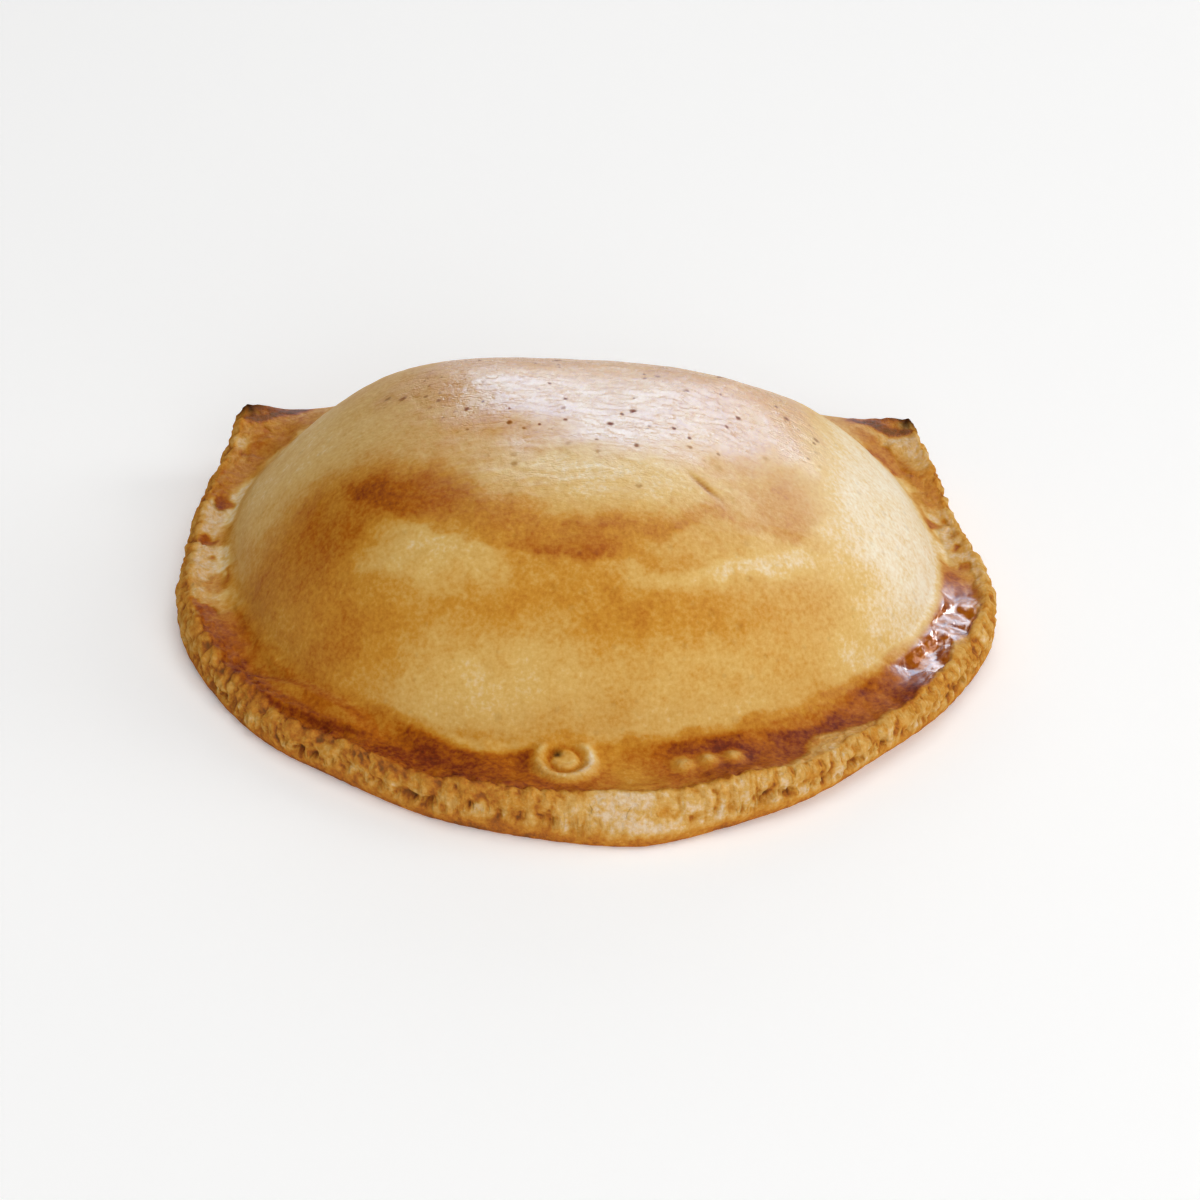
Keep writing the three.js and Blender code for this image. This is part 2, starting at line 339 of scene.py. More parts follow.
@dataclass(frozen=True)
class Outline:
    """Plan of the pastry: its outer edge, the foot of its dome and the stations along them."""

    half_length: float = 59.0
    half_depth: float = 46.0
    nose_x: float = 5.5
    waist_y: float = 6.0
    corner_x: float = 51.0
    fold_bow: float = 0.6
    fold_middle_x: float = -8.0
    foot_nose_inset: float = 13.5
    foot_waist_inset: float = 8.5
    foot_corner_inset: Pair = (9.5, 8.5)
    foot_fold_inset: float = 2.5
    rise_start: float = 0.15
    foot_height: float = 7.4
    fold_foot_height: float = 18.0
    fold_blend: float = 0.45
    crest_height: float = 7.4
    crest_inset: float = 1.8
    ear_reach: float = 14.0
    ear_lift: float = 4.6
    ear_undercut: float = 3.6
    ear_undercut_reach: float = 9.0
    right_lift: Span = Span(42.0, 26.0, 1.9)
    left_lift: Span = Span(-42.0, 26.0, 0.3)
    left_slump: Span = Span(-60.0, 20.0, 2.4)
    apron_x: float = 4.0
    apron_half_width: float = 9.0
    apron_inset: float = 2.0
    fold_thinning: float = 0.5
    outline_waves: tuple = ((3, 0.3, 0.1), (7, 0.3, 0.62), (13, 0.22, 0.35))
    crest_waves: tuple = ((5, 0.35, 0.2), (11, 0.3, 0.75), (19, 0.25, 0.4))

    def bends(self, side: int) -> dict[Stretch, tuple[Bend, Bend]]:
        """Curves of the outer edge and of the dome's foot for one half.

        Args:
            side: 1 for the right half and -1 for the left one, which is fuller at the front.

        Returns:
            The edge's and the foot's curve of each stretch.
        """

        def out(x: float, y: float) -> Pair:
            """A point or pull given outwards from the middle line."""
            return (side * x, y)

        nose = (self.nose_x, -self.half_depth)
        waist = out(self.half_length, self.waist_y)
        corner = out(self.corner_x, self.half_depth)
        fold = (self.fold_middle_x, self.half_depth + self.fold_bow)
        foot_nose = (0.0, self.foot_nose_inset - self.half_depth)
        foot_waist = out(self.half_length - self.foot_waist_inset, self.waist_y)
        inset_x, inset_y = self.foot_corner_inset
        foot_corner = out(self.corner_x - inset_x, self.half_depth - inset_y)
        foot_fold = (self.fold_middle_x, self.half_depth - self.foot_fold_inset)
        if side > 0:
            front = Bend(nose, waist, out(16.5, 1.5), out(1, -23))
            foot_front = Bend(foot_nose, foot_waist, out(22, 0), out(-2.8, -21))
        else:
            front = Bend(nose, waist, out(35, 0.5), out(-3.4, -29.5))
            foot_front = Bend(foot_nose, foot_waist, out(30, -0.5), out(-3, -26))
        return {
            Stretch.FRONT: (front, foot_front),
            Stretch.SIDE: (
                Bend(waist, corner, out(0.5, 13), out(3, -13)),
                Bend(foot_waist, foot_corner, out(2.5, 14), out(8, -6.2)),
            ),
            Stretch.FOLD: (
                Bend(corner, fold, out(-15, self.fold_bow), out(16, 0)),
                Bend(foot_corner, foot_fold, out(-7, 5.4), out(20, 0)),
            ),
        }

    def stations(self, count: int) -> Stations:
        """Stations anticlockwise from the nose: up the right half, then back down the left one.

        Args:
            count: how many stations there are in all; the smooth fold gets fewer of them than the rim.

        Returns:
            The stations.
        """
        forwards = (Stretch.FRONT, Stretch.SIDE, Stretch.FOLD)
        way = [(1, stretch) for stretch in forwards] + [(-1, stretch) for stretch in reversed(forwards)]
        pairs = [self.bends(side)[stretch] for side, stretch in way]
        thinning = [self.fold_thinning if stretch is Stretch.FOLD else 1.0 for _, stretch in way]
        weights = np.array([edge.length() * thin for (edge, _), thin in zip(pairs, thinning)])
        ends = np.round(np.cumsum(weights) / weights.sum() * count).astype(int)
        counts = np.diff(ends, prepend=0)
        shares = []
        for (side, _), (edge, _), number in zip(way, pairs, counts):
            even = np.arange(number) / number
            shares.append(edge.evenly(even if side > 0 else 1.0 - even))
        edge = np.concatenate([pair[0].at(share) for pair, share in zip(pairs, shares)])
        foot = np.concatenate([pair[1].at(share) for pair, share in zip(pairs, shares)])
        begins = np.repeat([stretch.value for _, stretch in way], counts)
        return self._describe(edge, foot, np.concatenate(shares), begins)

    def _describe(self, edge: Array, foot: Array, along: Array, begins: Array) -> Stations:
        """Heights, insets and shares at every station, from where it lies on its stretch.

        Args:
            edge: points of the outer edge.
            foot: points of the dome's foot beside them.
            along: share of the stretch at each station.
            begins: value of the stretch at each station.

        Returns:
            The stations; their walked distance is from the nose, negative on the left half.
        """
        steps = np.linalg.norm(edge - np.roll(edge, 1, axis=0), axis=-1)
        walked = np.cumsum(steps) - steps[0]
        length = steps.sum()
        share = walked / length
        walked = np.where(share > 0.5, walked - length, walked)
        to_corner = np.hypot(np.abs(edge[:, 0]) - self.corner_x, edge[:, 1] - self.half_depth)
        ear = bell(to_corner, self.ear_reach)
        on_fold = begins == Stretch.FOLD.value
        on_front = begins == Stretch.FRONT.value
        fold = on_fold * np.sin(np.minimum(1.0, along / self.fold_blend) * np.pi / 2)
        rise = ease(begins + 0.5 * along, self.rise_start, 1.0)
        apron = on_front * bell(edge[:, 0] - self.apron_x, self.apron_half_width)
        outward = (edge - foot) / np.linalg.norm(edge - foot, axis=-1, keepdims=True)
        edge = edge + outward * (self.wander(self.outline_waves, share) * (1 - ear))[:, None]
        crest = self.crest_height + self.wander(self.crest_waves, share) * (1 - fold) + self.ear_lift * ear
        crest = crest - self.left_slump.over(walked)
        lift = self.right_lift.over(walked) + self.left_lift.over(walked)
        return Stations(
            walked=walked,
            edge=edge,
            foot=foot,
            outward=outward,
            fold=fold,
            rise=rise,
            apron=apron,
            ear=ear,
            crest_height=crest,
            crest_inset=self.crest_inset + self.apron_inset * apron,
            foot_height=blend(self.foot_height, self.fold_foot_height, rise),
            underside=lift + self.ear_undercut * bell(to_corner, self.ear_undercut_reach),
        )

    @staticmethod
    def wander(waves: tuple, share: Array) -> Array:
        """Uneven hand work: a sum of sines round the outline, each given as turns, size and start."""
        return sum(size * np.sin(2 * np.pi * (turns * share + start)) for turns, size, start in waves)


@dataclass
class Skin:
    """The crust's mesh and where each of its vertices lies, one entry a vertex.

    Band, wall and base are shares of the way across these zones. The offsets are distances in millimetres
    to the foot of the dome, the crest of the rim and the ground on the vertex's own section, negative on
    the inner side.
    """

    points: Array
    quads: Array
    fan: Array
    at: Stations
    band: Array
    wall: Array
    base: Array
    from_foot: Array
    from_crest: Array
    from_ground: Array

    def normals(self) -> Array:
        """Outward unit normals: the sum of the cross products of the diagonals of the quads round each
        vertex.

        Returns:
            Unit vectors, shape (n, 3).
        """
        corners = self.points[self.quads]
        cross = np.cross(corners[:, 2] - corners[:, 0], corners[:, 3] - corners[:, 1])
        count = len(self.points)
        around = [
            np.bincount(self.quads.ravel(), weights=np.repeat(cross[:, axis], 4), minlength=count)
            for axis in range(3)
        ]
        total = np.stack(around, axis=-1)
        total[-1] = (0.0, 0.0, -1.0)
        return total / np.maximum(np.linalg.norm(total, axis=-1, keepdims=True), 1e-12)

    def soften(self, weight: Array, rounds: int) -> None:
        """Rounds the skin off: in every round a vertex goes half its weight of the way to the mean of the
        corners beside it.

        Args:
            weight: share of each vertex, 0 where the skin stays as it is.
            rounds: number of rounds.
        """
        near = self.quads[(weight[self.quads] > 0).any(axis=1)]
        corner, after = near.ravel(), np.roll(near, -1, axis=1).ravel()
        here, there = np.concatenate([corner, after]), np.concatenate([after, corner])
        count = len(self.points)
        beside = np.maximum(np.bincount(here, minlength=count), 1)
        for _ in range(rounds):
            totals = [np.bincount(here, self.points[there, axis], minlength=count) for axis in range(3)]
            mean = np.stack(totals, axis=-1) / beside[:, None]
            self.points = self.points + 0.5 * weight[:, None] * (mean - self.points)


@dataclass(frozen=True)
class CrustForm:
    """Sections of the crust: dome, pressed band, wall of the rim and base. The crease at the dome's foot is
    rounded off."""

    outline: Outline = field(default_factory=Outline)
    height: float = 35.0
    peak: Pair = (-7.0, 4.0)
    rim_side_powers: Pair = (2.45, 0.88)
    fold_side_powers: Pair = (3.4, 1.05)
    lump_height: float = 0.4
    lump_pitch: float = 38.0
    lump_shift: float = 0.8
    band_dip: float = 0.9
    bottom_inset: float = 1.3
    crag_inset: float = 0.4
    fold_bulge_height: float = 11.5
    fold_tuck: float = 5.0
    apron_hollow: float = 1.2
    apron_smoothness: float = 0.7
    base_shoulder: float = 0.2
    base_crowding: float = 1.6
    foot_round: float = 4.0
    foot_rounds: int = 160
    dome_rings: int = 84
    skirt_start: float = 0.84
    skirt_rows: int = 16
    band_rows: int = 36
    wall_rows: int = 44
    base_rows: int = 8

    def skin(self) -> Skin:
        """The plain form, moved so that its box is centred on the CAD node's and stands on its floor.

        The top of the dome is a square grid drawn out to the round: ring k of the square, 8k vertices long,
        lies at the share of the way out that belongs to k. The square's border is the first row of the
        rest, whose rows run on over the dome's skirt, the band, the wall and the base to one vertex under
        the peak.

        Returns:
            The skin, without relief.
        """
        stations = self.outline.stations(8 * self.dome_rings)
        count = len(stations.walked)
        ring, column = self._square()
        inner = stations.at(column.ravel())
        top = self._dome(inner, self.skirt_start * ring.ravel() / self.dome_rings)
        turns = np.arange(1, self.skirt_rows + 1) / self.skirt_rows * np.pi / 2
        skirt = blend(self.skirt_start, 1.0, np.sin(turns))
        band = np.arange(1, self.band_rows + 1) / self.band_rows
        wall = np.arange(1, self.wall_rows + 1) / self.wall_rows
        base = np.arange(1, self.base_rows) / self.base_rows
        sides = [self._dome(stations, np.full(count, reach)) for reach in skirt]
        rim = [self._band(stations, band), self._wall(stations, wall), self._base(stations, base)]
        points = np.concatenate([top, *sides, *(zone.reshape(-1, 3) for zone in rim), [[*self.peak, 0.0]]])
        lengths = (len(skirt), len(band), len(wall), len(base))
        rows = sum(lengths)
        at = inner.joined(stations, rows)
        starts = np.cumsum(lengths)
        zones = {"band": (band, starts[0]), "wall": (wall, starts[1]), "base": (base, starts[2])}
        spread = {name: self._spread(len(top), count, *zone, rows) for name, zone in zones.items()}
        foot, crest, ground = self._landmarks(at)
        skin = Skin(
            points=points + self._to_cad_box(points),
            quads=self._quads(ring, column, rows, count),
            fan=self._fan(len(points) - 1, count),
            at=at,
            from_foot=np.linalg.norm(points - foot, axis=-1) * np.where(spread["band"] > 0, 1.0, -1.0),
            from_crest=np.linalg.norm(points - crest, axis=-1) * np.where(spread["wall"] > 0, 1.0, -1.0),
            from_ground=np.linalg.norm(points - ground, axis=-1) * np.where(spread["base"] > 0, 1.0, -1.0),
            **spread,
        )
        near_foot = 1.0 - ease(np.abs(skin.from_foot), 0.3 * self.foot_round, self.foot_round)
        skin.soften(near_foot * (1.0 - at.fold), self.foot_rounds)
        return skin

    def _square(self) -> tuple[Array, Array]:
        """Ring and place round it of every vertex of the dome's square grid.

        Returns:
            Both of shape (side, side); the place runs anticlockwise from the middle of the side towards the
            nose and is counted in stations.
        """
        steps = np.arange(-self.dome_rings, self.dome_rings + 1)
        down, across = np.meshgrid(steps, steps, indexing="ij")
        ring = np.maximum(np.abs(down), np.abs(across))
        sides = [(down == -ring) & (across >= 0), across == ring, down == ring, across == -ring]
        walks = [across, 2 * ring + down, 4 * ring - across, 6 * ring - down]
        walk = np.select(sides, walks, 8 * ring + across)
        return ring, walk * self.dome_rings / np.maximum(ring, 1)

    def _quads(self, ring: Array, column: Array, rows: int, count: int) -> Array:
        """Quads of the square and of the rows round it, facing outwards.

        Args:
            ring: ring of every vertex of the square.
            column: place round it.
            rows: number of rows.
            count: vertices of a row.

        Returns:
            Four vertices a quad.
        """
        grid = np.arange(ring.size).reshape(ring.shape)
        square = np.stack([grid[:-1, :-1], grid[:-1, 1:], grid[1:, 1:], grid[1:, :-1]], axis=-1)
        border = np.empty(count, dtype=int)
        on_border = ring == self.dome_rings
        border[column[on_border].astype(int)] = grid[on_border]
        below = ring.size + np.arange(rows * count).reshape(rows, count)
        rim = np.concatenate([border[None], below])
        after = np.roll(rim, -1, axis=1)
        around = np.stack([rim[:-1], rim[1:], after[1:], after[:-1]], axis=-1)
        return np.concatenate([square.reshape(-1, 4), around.reshape(-1, 4)])

    @staticmethod
    def _fan(last: int, count: int) -> Array:
        """Triangles from the innermost row of the base to its one middle vertex."""
        row = np.arange(last - count, last)
        return np.stack([row, np.full(count, last), np.roll(row, -1)], axis=-1)

    @staticmethod
    def _spread(top: int, count: int, share: Array, before: int, rows: int) -> Array:
        """Share of one zone for every vertex: 0 before it and 1 after it.

        Args:
            top: vertices of the square grid.
            count: vertices of a row.
            share: share of the zone at each of its rows.
            before: rows before the zone.
            rows: rows in all.

        Returns:
            One share a vertex.
        """
        lines = np.concatenate([np.zeros(before), share, np.ones(rows - before - len(share))])
        return np.concatenate([np.zeros(top), np.repeat(lines, count), [1.0]])

    @staticmethod
    def _to_cad_box(points: Array) -> Array:
        """Shift that centres the points' box on the CAD node's in plan and sets its floor on the node's.

        Args:
            points: places in millimetres, shape (n, 3).

        Returns:
            The shift in millimetres.
        """
        low, high = (np.array(corner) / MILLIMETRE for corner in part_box(CAD_NODE))
        least, most = points.min(axis=0), points.max(axis=0)
        shift = (low + high) / 2 - (least + most) / 2
        shift[2] = low[2] - least[2]
        return shift

    def _landmarks(self, at: Stations) -> tuple[Array, Array, Array]:
        """Foot of the dome, crest of the rim and foot of the wall on the section of every station.

        Args:
            at: station of every vertex.

        Returns:
            Three sets of points, shape (n, 3) each.
        """
        crest_plan = at.edge - at.outward * (at.crest_inset * (1 - at.fold))[:, None]
        crest_height = blend(at.crest_height, self.fold_bulge_height, at.fold)
        ground_plan = at.edge - at.outward * blend(self.bottom_inset, self.fold_tuck, at.fold)[:, None]
        return (
            np.column_stack([at.foot, at.foot_height]),
            np.column_stack([crest_plan, crest_height]),
            np.column_stack([ground_plan, at.underside]),
        )

    def _dome(self, at: Stations, reach: Array) -> Array:
        """Top of the dome down to its foot: height falls as (1 - q^fullness)^shoulder, with q the share of
        the way out in plan; the two powers change from the rim's side to the fold's. Low lumps of the
        filling, a sine along X times a cosine along Y, fade to the foot.

        Args:
            at: station of every vertex.
            reach: q of every vertex.

        Returns:
            Points, shape (n, 3).
        """
        fullness = blend(self.rim_side_powers[0], self.fold_side_powers[0], at.rise)
        shoulder = blend(self.rim_side_powers[1], self.fold_side_powers[1], at.rise)
        fall = np.maximum(0.0, 1.0 - reach**fullness) ** shoulder
        plan = blend(np.array(self.peak), at.foot, reach[:, None])
        turns = 2 * np.pi * plan / self.lump_pitch
        lump = self.lump_height * fall * np.sin(turns[:, 0] + self.lump_shift) * np.cos(turns[:, 1])
        return np.column_stack([plan, blend(at.foot_height, self.height, fall) + lump])

    def _band(self, at: Stations, step: Array) -> Array:
        """Foot of the dome out to the crest, dipping by a sine between them; at the fold it rounds over.

        Args:
            at: stations.
            step: share of the band at every row.

        Returns:
            Points, shape (rows, stations, 3).
        """
        share = step[:, None]
        crest = at.edge - at.outward * at.crest_inset[:, None]
        rim_plan = blend(at.foot[None], crest[None], share[..., None])
        rim_height = blend(at.foot_height, at.crest_height, share) - self.band_dip * np.sin(np.pi * share)
        fold_plan = blend(at.foot[None], at.edge[None], np.sin(share * np.pi / 2)[..., None])
        fold_height = blend(at.foot_height, self.fold_bulge_height, share)
        plan = blend(rim_plan, fold_plan, at.fold[:, None])
        height = blend(rim_height, fold_height, at.fold)
        return np.concatenate([plan, height[..., None]], axis=-1)

    def _wall(self, at: Stations, step: Array) -> Array:
        """Crest down to the ground: rounded at both ends along the rim, sloping at the apron, tucked in by
        the square of the share at the fold.

        Args:
            at: stations.
            step: share of the wall at every row.

        Returns:
            Points, shape (rows, stations, 3).
        """
        share = step[:, None]
        upper = np.maximum(0.0, 1.0 - 2.0 * share) ** 2
        lower = np.maximum(0.0, 2.0 * share - 1.0) ** 2
        slope = at.apron * self.outline.apron_inset * (1.0 - share) ** self.apron_hollow
        rim_inset = self.outline.crest_inset * upper + self.bottom_inset * lower + slope
        middle = np.sin(np.pi * share) * (1 - at.fold) * (1 - self.apron_smoothness * at.apron)
        inset = blend(rim_inset, self.fold_tuck * share**2, at.fold) + self.crag_inset * middle
        plan = at.edge[None] - at.outward[None] * inset[..., None]
        top = blend(at.crest_height, self.fold_bulge_height, at.fold)
        height = blend(top, at.underside, share)
        return np.concatenate([plan, height[..., None]], axis=-1)

    def _base(self, at: Stations, step: Array) -> Array:
        """Flat underside from the foot of the wall to its middle; where the rim is lifted it comes down
        from outside. Rows crowd towards the wall, by a power of their share.

        Args:
            at: stations.
            step: share of the way in at every row.

        Returns:
            Points, shape (rows, stations, 3).
        """
        share = (step**self.base_crowding)[:, None]
        rim = at.edge - at.outward * blend(self.bottom_inset, self.fold_tuck, at.fold)[:, None]
        plan = blend(rim[None], np.array(self.peak), share[..., None])
        height = at.underside * np.maximum(0.0, 1.0 - share / self.base_shoulder)
        return np.concatenate([plan, height[..., None]], axis=-1)


@dataclass(frozen=True)
class Zones:
    """How far each vertex belongs to the dome, the band, the wall and the base, as shares that add up to 1;
    rim is the share of the pressed rim against the fold."""

    dome: Array
    band: Array
    wall: Array
    base: Array
    rim: Array

    @classmethod
    def of(cls, skin: Skin) -> "Zones":
        """Works the zones out of the offsets; they fade into each other over about a millimetre.

        Args:
            skin: the plain form.

        Returns:
            The zones.
        """
        rim = 1.0 - skin.at.fold
        past_foot = ease(skin.from_foot, *FOOT_FADE)
        past_crest = ease(skin.from_crest, *CREST_FADE)
        past_ground = ease(skin.from_ground, *GROUND_FADE)
        band = past_foot * (1.0 - past_crest) * rim
        wall = past_crest * (1.0 - past_ground)
        return cls(dome=1.0 - band - wall - past_ground, band=band, wall=wall, base=past_ground, rim=rim)


@dataclass(frozen=True)
class PressMarks:
    """Raised marks that the press leaves on the band: a ring with a button in it, and three plain dots."""

    ring: Pair = (-5.0, -36.0)
    ring_radius: float = 3.6
    ring_lip: float = 1.05
    ring_height: float = 0.85
    button_radius: float = 1.95
    button_height: float = 0.6
    button_edge: Pair = (-0.5, 0.1)
    button_share: float = 0.7
    hole: Pair = (-6.1, -34.9)
    hole_radius: float = 0.55
    hole_depth: float = 0.6
    dots: tuple[Pair, ...] = ((11.1, -36.25), (14.5, -35.4), (17.9, -34.55))
    dot_radius: float = 1.4
    dot_height: float = 0.85
    ring_moat: Pair = (2.2, 1.0)
    dot_moat: Pair = (0.98, 0.8)
    dot_moat_share: float = 0.5
    groove: Pair = (0.15, 0.3)

    @staticmethod
    def _away(points: Array, centre: Pair) -> Array:
        """Distance in plan from a centre."""
        return np.hypot(points[:, 0] - centre[0], points[:, 1] - centre[1])

    def _forms(self, points: Array) -> tuple[Array, Array, Array]:
        """Shares of the ring, a bell across its lip, of the flat button and of the dots, round bells.

        Args:
            points: places in millimetres, shape (n, 3).

        Returns:
            The three shares of every place.
        """
        away = self._away(points, self.ring)
        ring = bell(away - self.ring_radius, self.ring_lip)
        button = 1.0 - ease(away - self.button_radius, *self.button_edge)
        dots = sum(bell(self._away(points, dot), self.dot_radius) for dot in self.dots)
        return ring, button, dots

    def raised(self, points: Array) -> Array:
        """Share of the way up any mark."""
        ring, button, dots = self._forms(points)
        return np.clip(ring + self.button_share * button + dots, 0.0, 1.0)

    def relief(self, points: Array) -> Array:
        """Height of the marks in millimetres, with the small hole at the button's edge.

        Args:
            points: places in millimetres, shape (n, 3).

        Returns:
            One height a place.
        """
        ring, button, dots = self._forms(points)
        raised = self.ring_height * ring + self.button_height * button + self.dot_height * dots
        return raised - self.hole_depth * self.pierced(points)

    def pierced(self, points: Array) -> Array:
        """Share of the small hole."""
        return bell(self._away(points, self.hole), self.hole_radius)

    def halo(self, points: Array) -> Array:
        """Share of the dark moats round the ring and the dots and of the groove round the button; each is a
        bell, given as its distance from the mark's edge and its width.

        Args:
            points: places in millimetres, shape (n, 3).

        Returns:
            One share a place.
        """

        def around(centre: Pair, radius: float, moat: Pair) -> Array:
            """Share of one moat."""
            return bell(self._away(points, centre) - radius - moat[0], moat[1])

        total = around(self.ring, self.ring_radius, self.ring_moat)
        total = total + around(self.ring, self.button_radius, self.groove)
        dots = sum(around(dot, self.dot_radius, self.dot_moat) for dot in self.dots)
        return np.clip(total + self.dot_moat_share * dots, 0.0, 1.0)


@dataclass(frozen=True)
class Patch:
    """A patch of the skin, higher, browner or paler than the rest: an ellipse in plan."""

    centre: Pair
    reach: Pair
    turn: float
    change: float
    softness: float = 0.5

    def over(self, plan: Array) -> Array:
        """The change: full inside the ellipse, easing out over its softness.

        Args:
            plan: places in plan, shape (n, 2).

        Returns:
            The change at every place.
        """
        angle = math.radians(self.turn)
        x, y = plan[:, 0] - self.centre[0], plan[:, 1] - self.centre[1]
        along = (x * math.cos(angle) + y * math.sin(angle)) / self.reach[0]
        across = (y * math.cos(angle) - x * math.sin(angle)) / self.reach[1]
        return self.change * (1.0 - ease(np.hypot(along, across), 1.0 - self.softness, 1.0 + self.softness))


@dataclass(frozen=True)
class Relief:
    """Unevenness that baking leaves on the skin, in millimetres along the normals."""

    marks: PressMarks = field(default_factory=PressMarks)
    lumps: Cloud = Cloud(11, 0.26, 17.0, 2)
    pores: Cloud = Cloud(12, 0.05, 2.6, 2)
    wrinkle: float = 0.1
    wrinkle_pitch: float = 2.4
    wrinkle_edge: Pair = (0.75, 1.0)
    wrinkle_stretch: tuple[float, float, float] = (0.3, 1.0, 1.0)
    wrinkled_at: Pair = (-2.0, -5.0)
    wrinkled_reach: Pair = (26.0, 9.0)
    slash_start: Pair = (12.4, -3.6)
    slash_end: Pair = (16.2, -6.3)
    slash_width: float = 0.42
    slash_depth: float = 0.4
    ripples: Cloud = Cloud(23, 0.2, 3.6)
    marks_calm: float = 0.8
    worn_calm: float = 0.6
    pad: Patch = Patch((-41.5, -22.0), (12.0, 2.4), -36.0, 1.3, 0.25)
    blister: float = 1.5
    blister_pitch: float = 4.4
    blister_reach: float = 0.8
    blister_fold: float = 0.18
    blister_fold_pitch: float = 2.2
    fine_fold_share: float = 0.6
    blister_spans: tuple[Span, ...] = (Span(66.0, 16.0), Span(-86.0, 16.0, 0.25))
    worn_flank: Pair = (78.0, 90.0)
    crumb: Cloud = Cloud(36, 0.22, 1.5)
    crag: float = 0.6
    crag_pitch: float = 2.5
    crag_stretch: tuple[float, float, float] = (1.0, 1.0, 0.5)
    crag_gain: float = 1.8
    crag_most: float = 1.2
    crag_middle: float = 0.5
    torn_levels: Pair = (0.1, 0.25)
    torn_crest: Pair = (-4.0, -0.5)
    torn_below_loss: float = 0.85
    torn_right: Pair = (10.0, 25.0)
    torn_right_loss: float = 0.5
    torn_apron_loss: float = 0.7
    pit: float = 1.0
    seam_share: float = 0.5
    seam_width: float = 0.17
    seam_wander: Cloud = Cloud(31, 0.1, 9.0)
    seam_wall_scale: float = 3.0
    seam_swell: Cloud = Cloud(33, 0.5, 5.0, 1)
    seam_least: float = 0.45
    seam_openings: Cloud = Cloud(34, 1.0, 11.0, 1)
    seam_open_edge: Pair = (-0.2, 0.3)
    seam_apron_loss: float = 0.85
    pillars: Cloud = Cloud(32, 1.0, 1.9, 2)
    pillar_slant: float = 1.5
    pillar_wall_scale: float = 1.6
    pit_edge: Pair = (0.02, 0.4)
    lip: float = 0.22
    lip_level: float = -0.26
    lip_width: float = 0.12
    ledge: float = 0.34
    ledge_levels: Pair = (0.1, 0.26)
    ear_flakes: Cloud = Cloud(41, 0.35, 3.0)
    base_dimples: Cloud = Cloud(71, 0.12, 5.0)

    def height(self, skin: Skin, zones: Zones) -> Array:
        """All relief together, one entry a vertex."""
        dimples = self.base_dimples.at(skin.points) * zones.base
        return dimples + sum(part(skin, zones) for part in (self._dome, self._band, self._wall, self._ear))

    def _dome(self, skin: Skin, zones: Zones) -> Array:
        """Soft lumps, fine pores, wrinkles drawn out along X where the skin has dried, and the nick.

        Args:
            skin: the plain form.
            zones: its zones.

        Returns:
            One height a vertex.
        """
        at = skin.points
        dried = spot(at, self.wrinkled_at, self.wrinkled_reach)
        drawn = at * np.array(self.wrinkle_stretch)
        wrinkles = ease(Noise(13).creases(drawn, self.wrinkle_pitch), *self.wrinkle_edge)
        uneven = self.lumps.at(at) + self.pores.at(at) + self.wrinkle * wrinkles * dried
        return (uneven - self.slash_depth * self.slashed(skin)) * zones.dome

    def slashed(self, skin: Skin) -> Array:
        """Share of one short knife nick in the dome: a bell across its line times a bell along it.

        Args:
            skin: the plain form.

        Returns:
            One share a vertex.
        """
        start, end = np.array(self.slash_start), np.array(self.slash_end)
        length = np.linalg.norm(end - start)
        line = (end - start) / length
        offset = skin.points[:, :2] - (start + end) / 2
        across = offset @ np.array([-line[1], line[0]])
        return bell(across, self.slash_width) * bell(offset @ line, length / 2) * (skin.band == 0)

    def blistered(self, skin: Skin) -> Array:
        """Share of blisters in the glaze: on the right flank of the rim, and weakly on the left one."""
        return np.maximum.reduce([span.over(skin.at.walked) for span in self.blister_spans])

    def worn(self, skin: Skin) -> Array:
        """Share of the flanks behind the blisters, where little glaze is left."""
        return ease(np.abs(skin.at.walked), *self.worn_flank)

    def _band(self, skin: Skin, zones: Zones) -> Array:
        """Ripples all along the band, wrinkled blisters on the flanks, one smooth pad and the press marks.

        Args:
            skin: the plain form.
            zones: its zones.

        Returns:
            One height a vertex.
        """
        at = skin.points
        away = Noise(21).pebbles(at, self.blister_pitch)
        bubbles = self.blister * np.maximum(0.0, 1.0 - (away / self.blister_reach) ** 2)
        folds = Noise(22).creases(at, self.blister_fold_pitch)
        folds = folds + self.fine_fold_share * Noise(24).creases(at, self.blister_fold_pitch / 2)
        blisters = (bubbles - self.blister_fold * folds) * self.blistered(skin)
        padded = self.pad.over(at[:, :2])
        quiet = (1.0 - self.marks_calm * self.marks.raised(at)) * (1.0 - padded / self.pad.change)
        quiet = quiet * (1.0 - self.worn_calm * self.worn(skin))
        return (self.ripples.at(at) * quiet + blisters + padded + self.marks.relief(at)) * zones.band

    def seam(self, skin: Skin) -> tuple[Array, Array]:
        """The open seam along the wall, between an upper and a lower layer of dough.

        Args:
            skin: the plain form.

        Returns:
            Level below the seam's wandering middle, as a share of the wall; and how open the seam is, which
            comes and goes along the rim.
        """
        along = np.column_stack([skin.at.walked, self.seam_wall_scale * skin.wall, np.zeros(len(skin.wall))])
        level = skin.wall - self.seam_share - self.seam_wander.at(along)
        width = self.seam_width * (1.0 + self.seam_swell.at(along))
        open_share = ease(self.seam_openings.at(along), *self.seam_open_edge)
        opened = blend(self.seam_least, 1.0, open_share) * (1.0 - self.seam_apron_loss * skin.at.apron)
        return level, bell(level, width) * opened * (skin.wall > 0)

    def pits(self, skin: Skin) -> Array:
        """Share of the wider holes in the seam, upright and somewhat slanted.

        Args:
            skin: the plain form.

        Returns:
            One share a vertex.
        """
        level, opened = self.seam(skin)
        slanted = skin.at.walked + self.pillar_slant * level
        place = np.column_stack([slanted, self.pillar_wall_scale * skin.wall, np.zeros(len(level))])
        return opened * ease(self.pillars.at(place), *self.pit_edge)

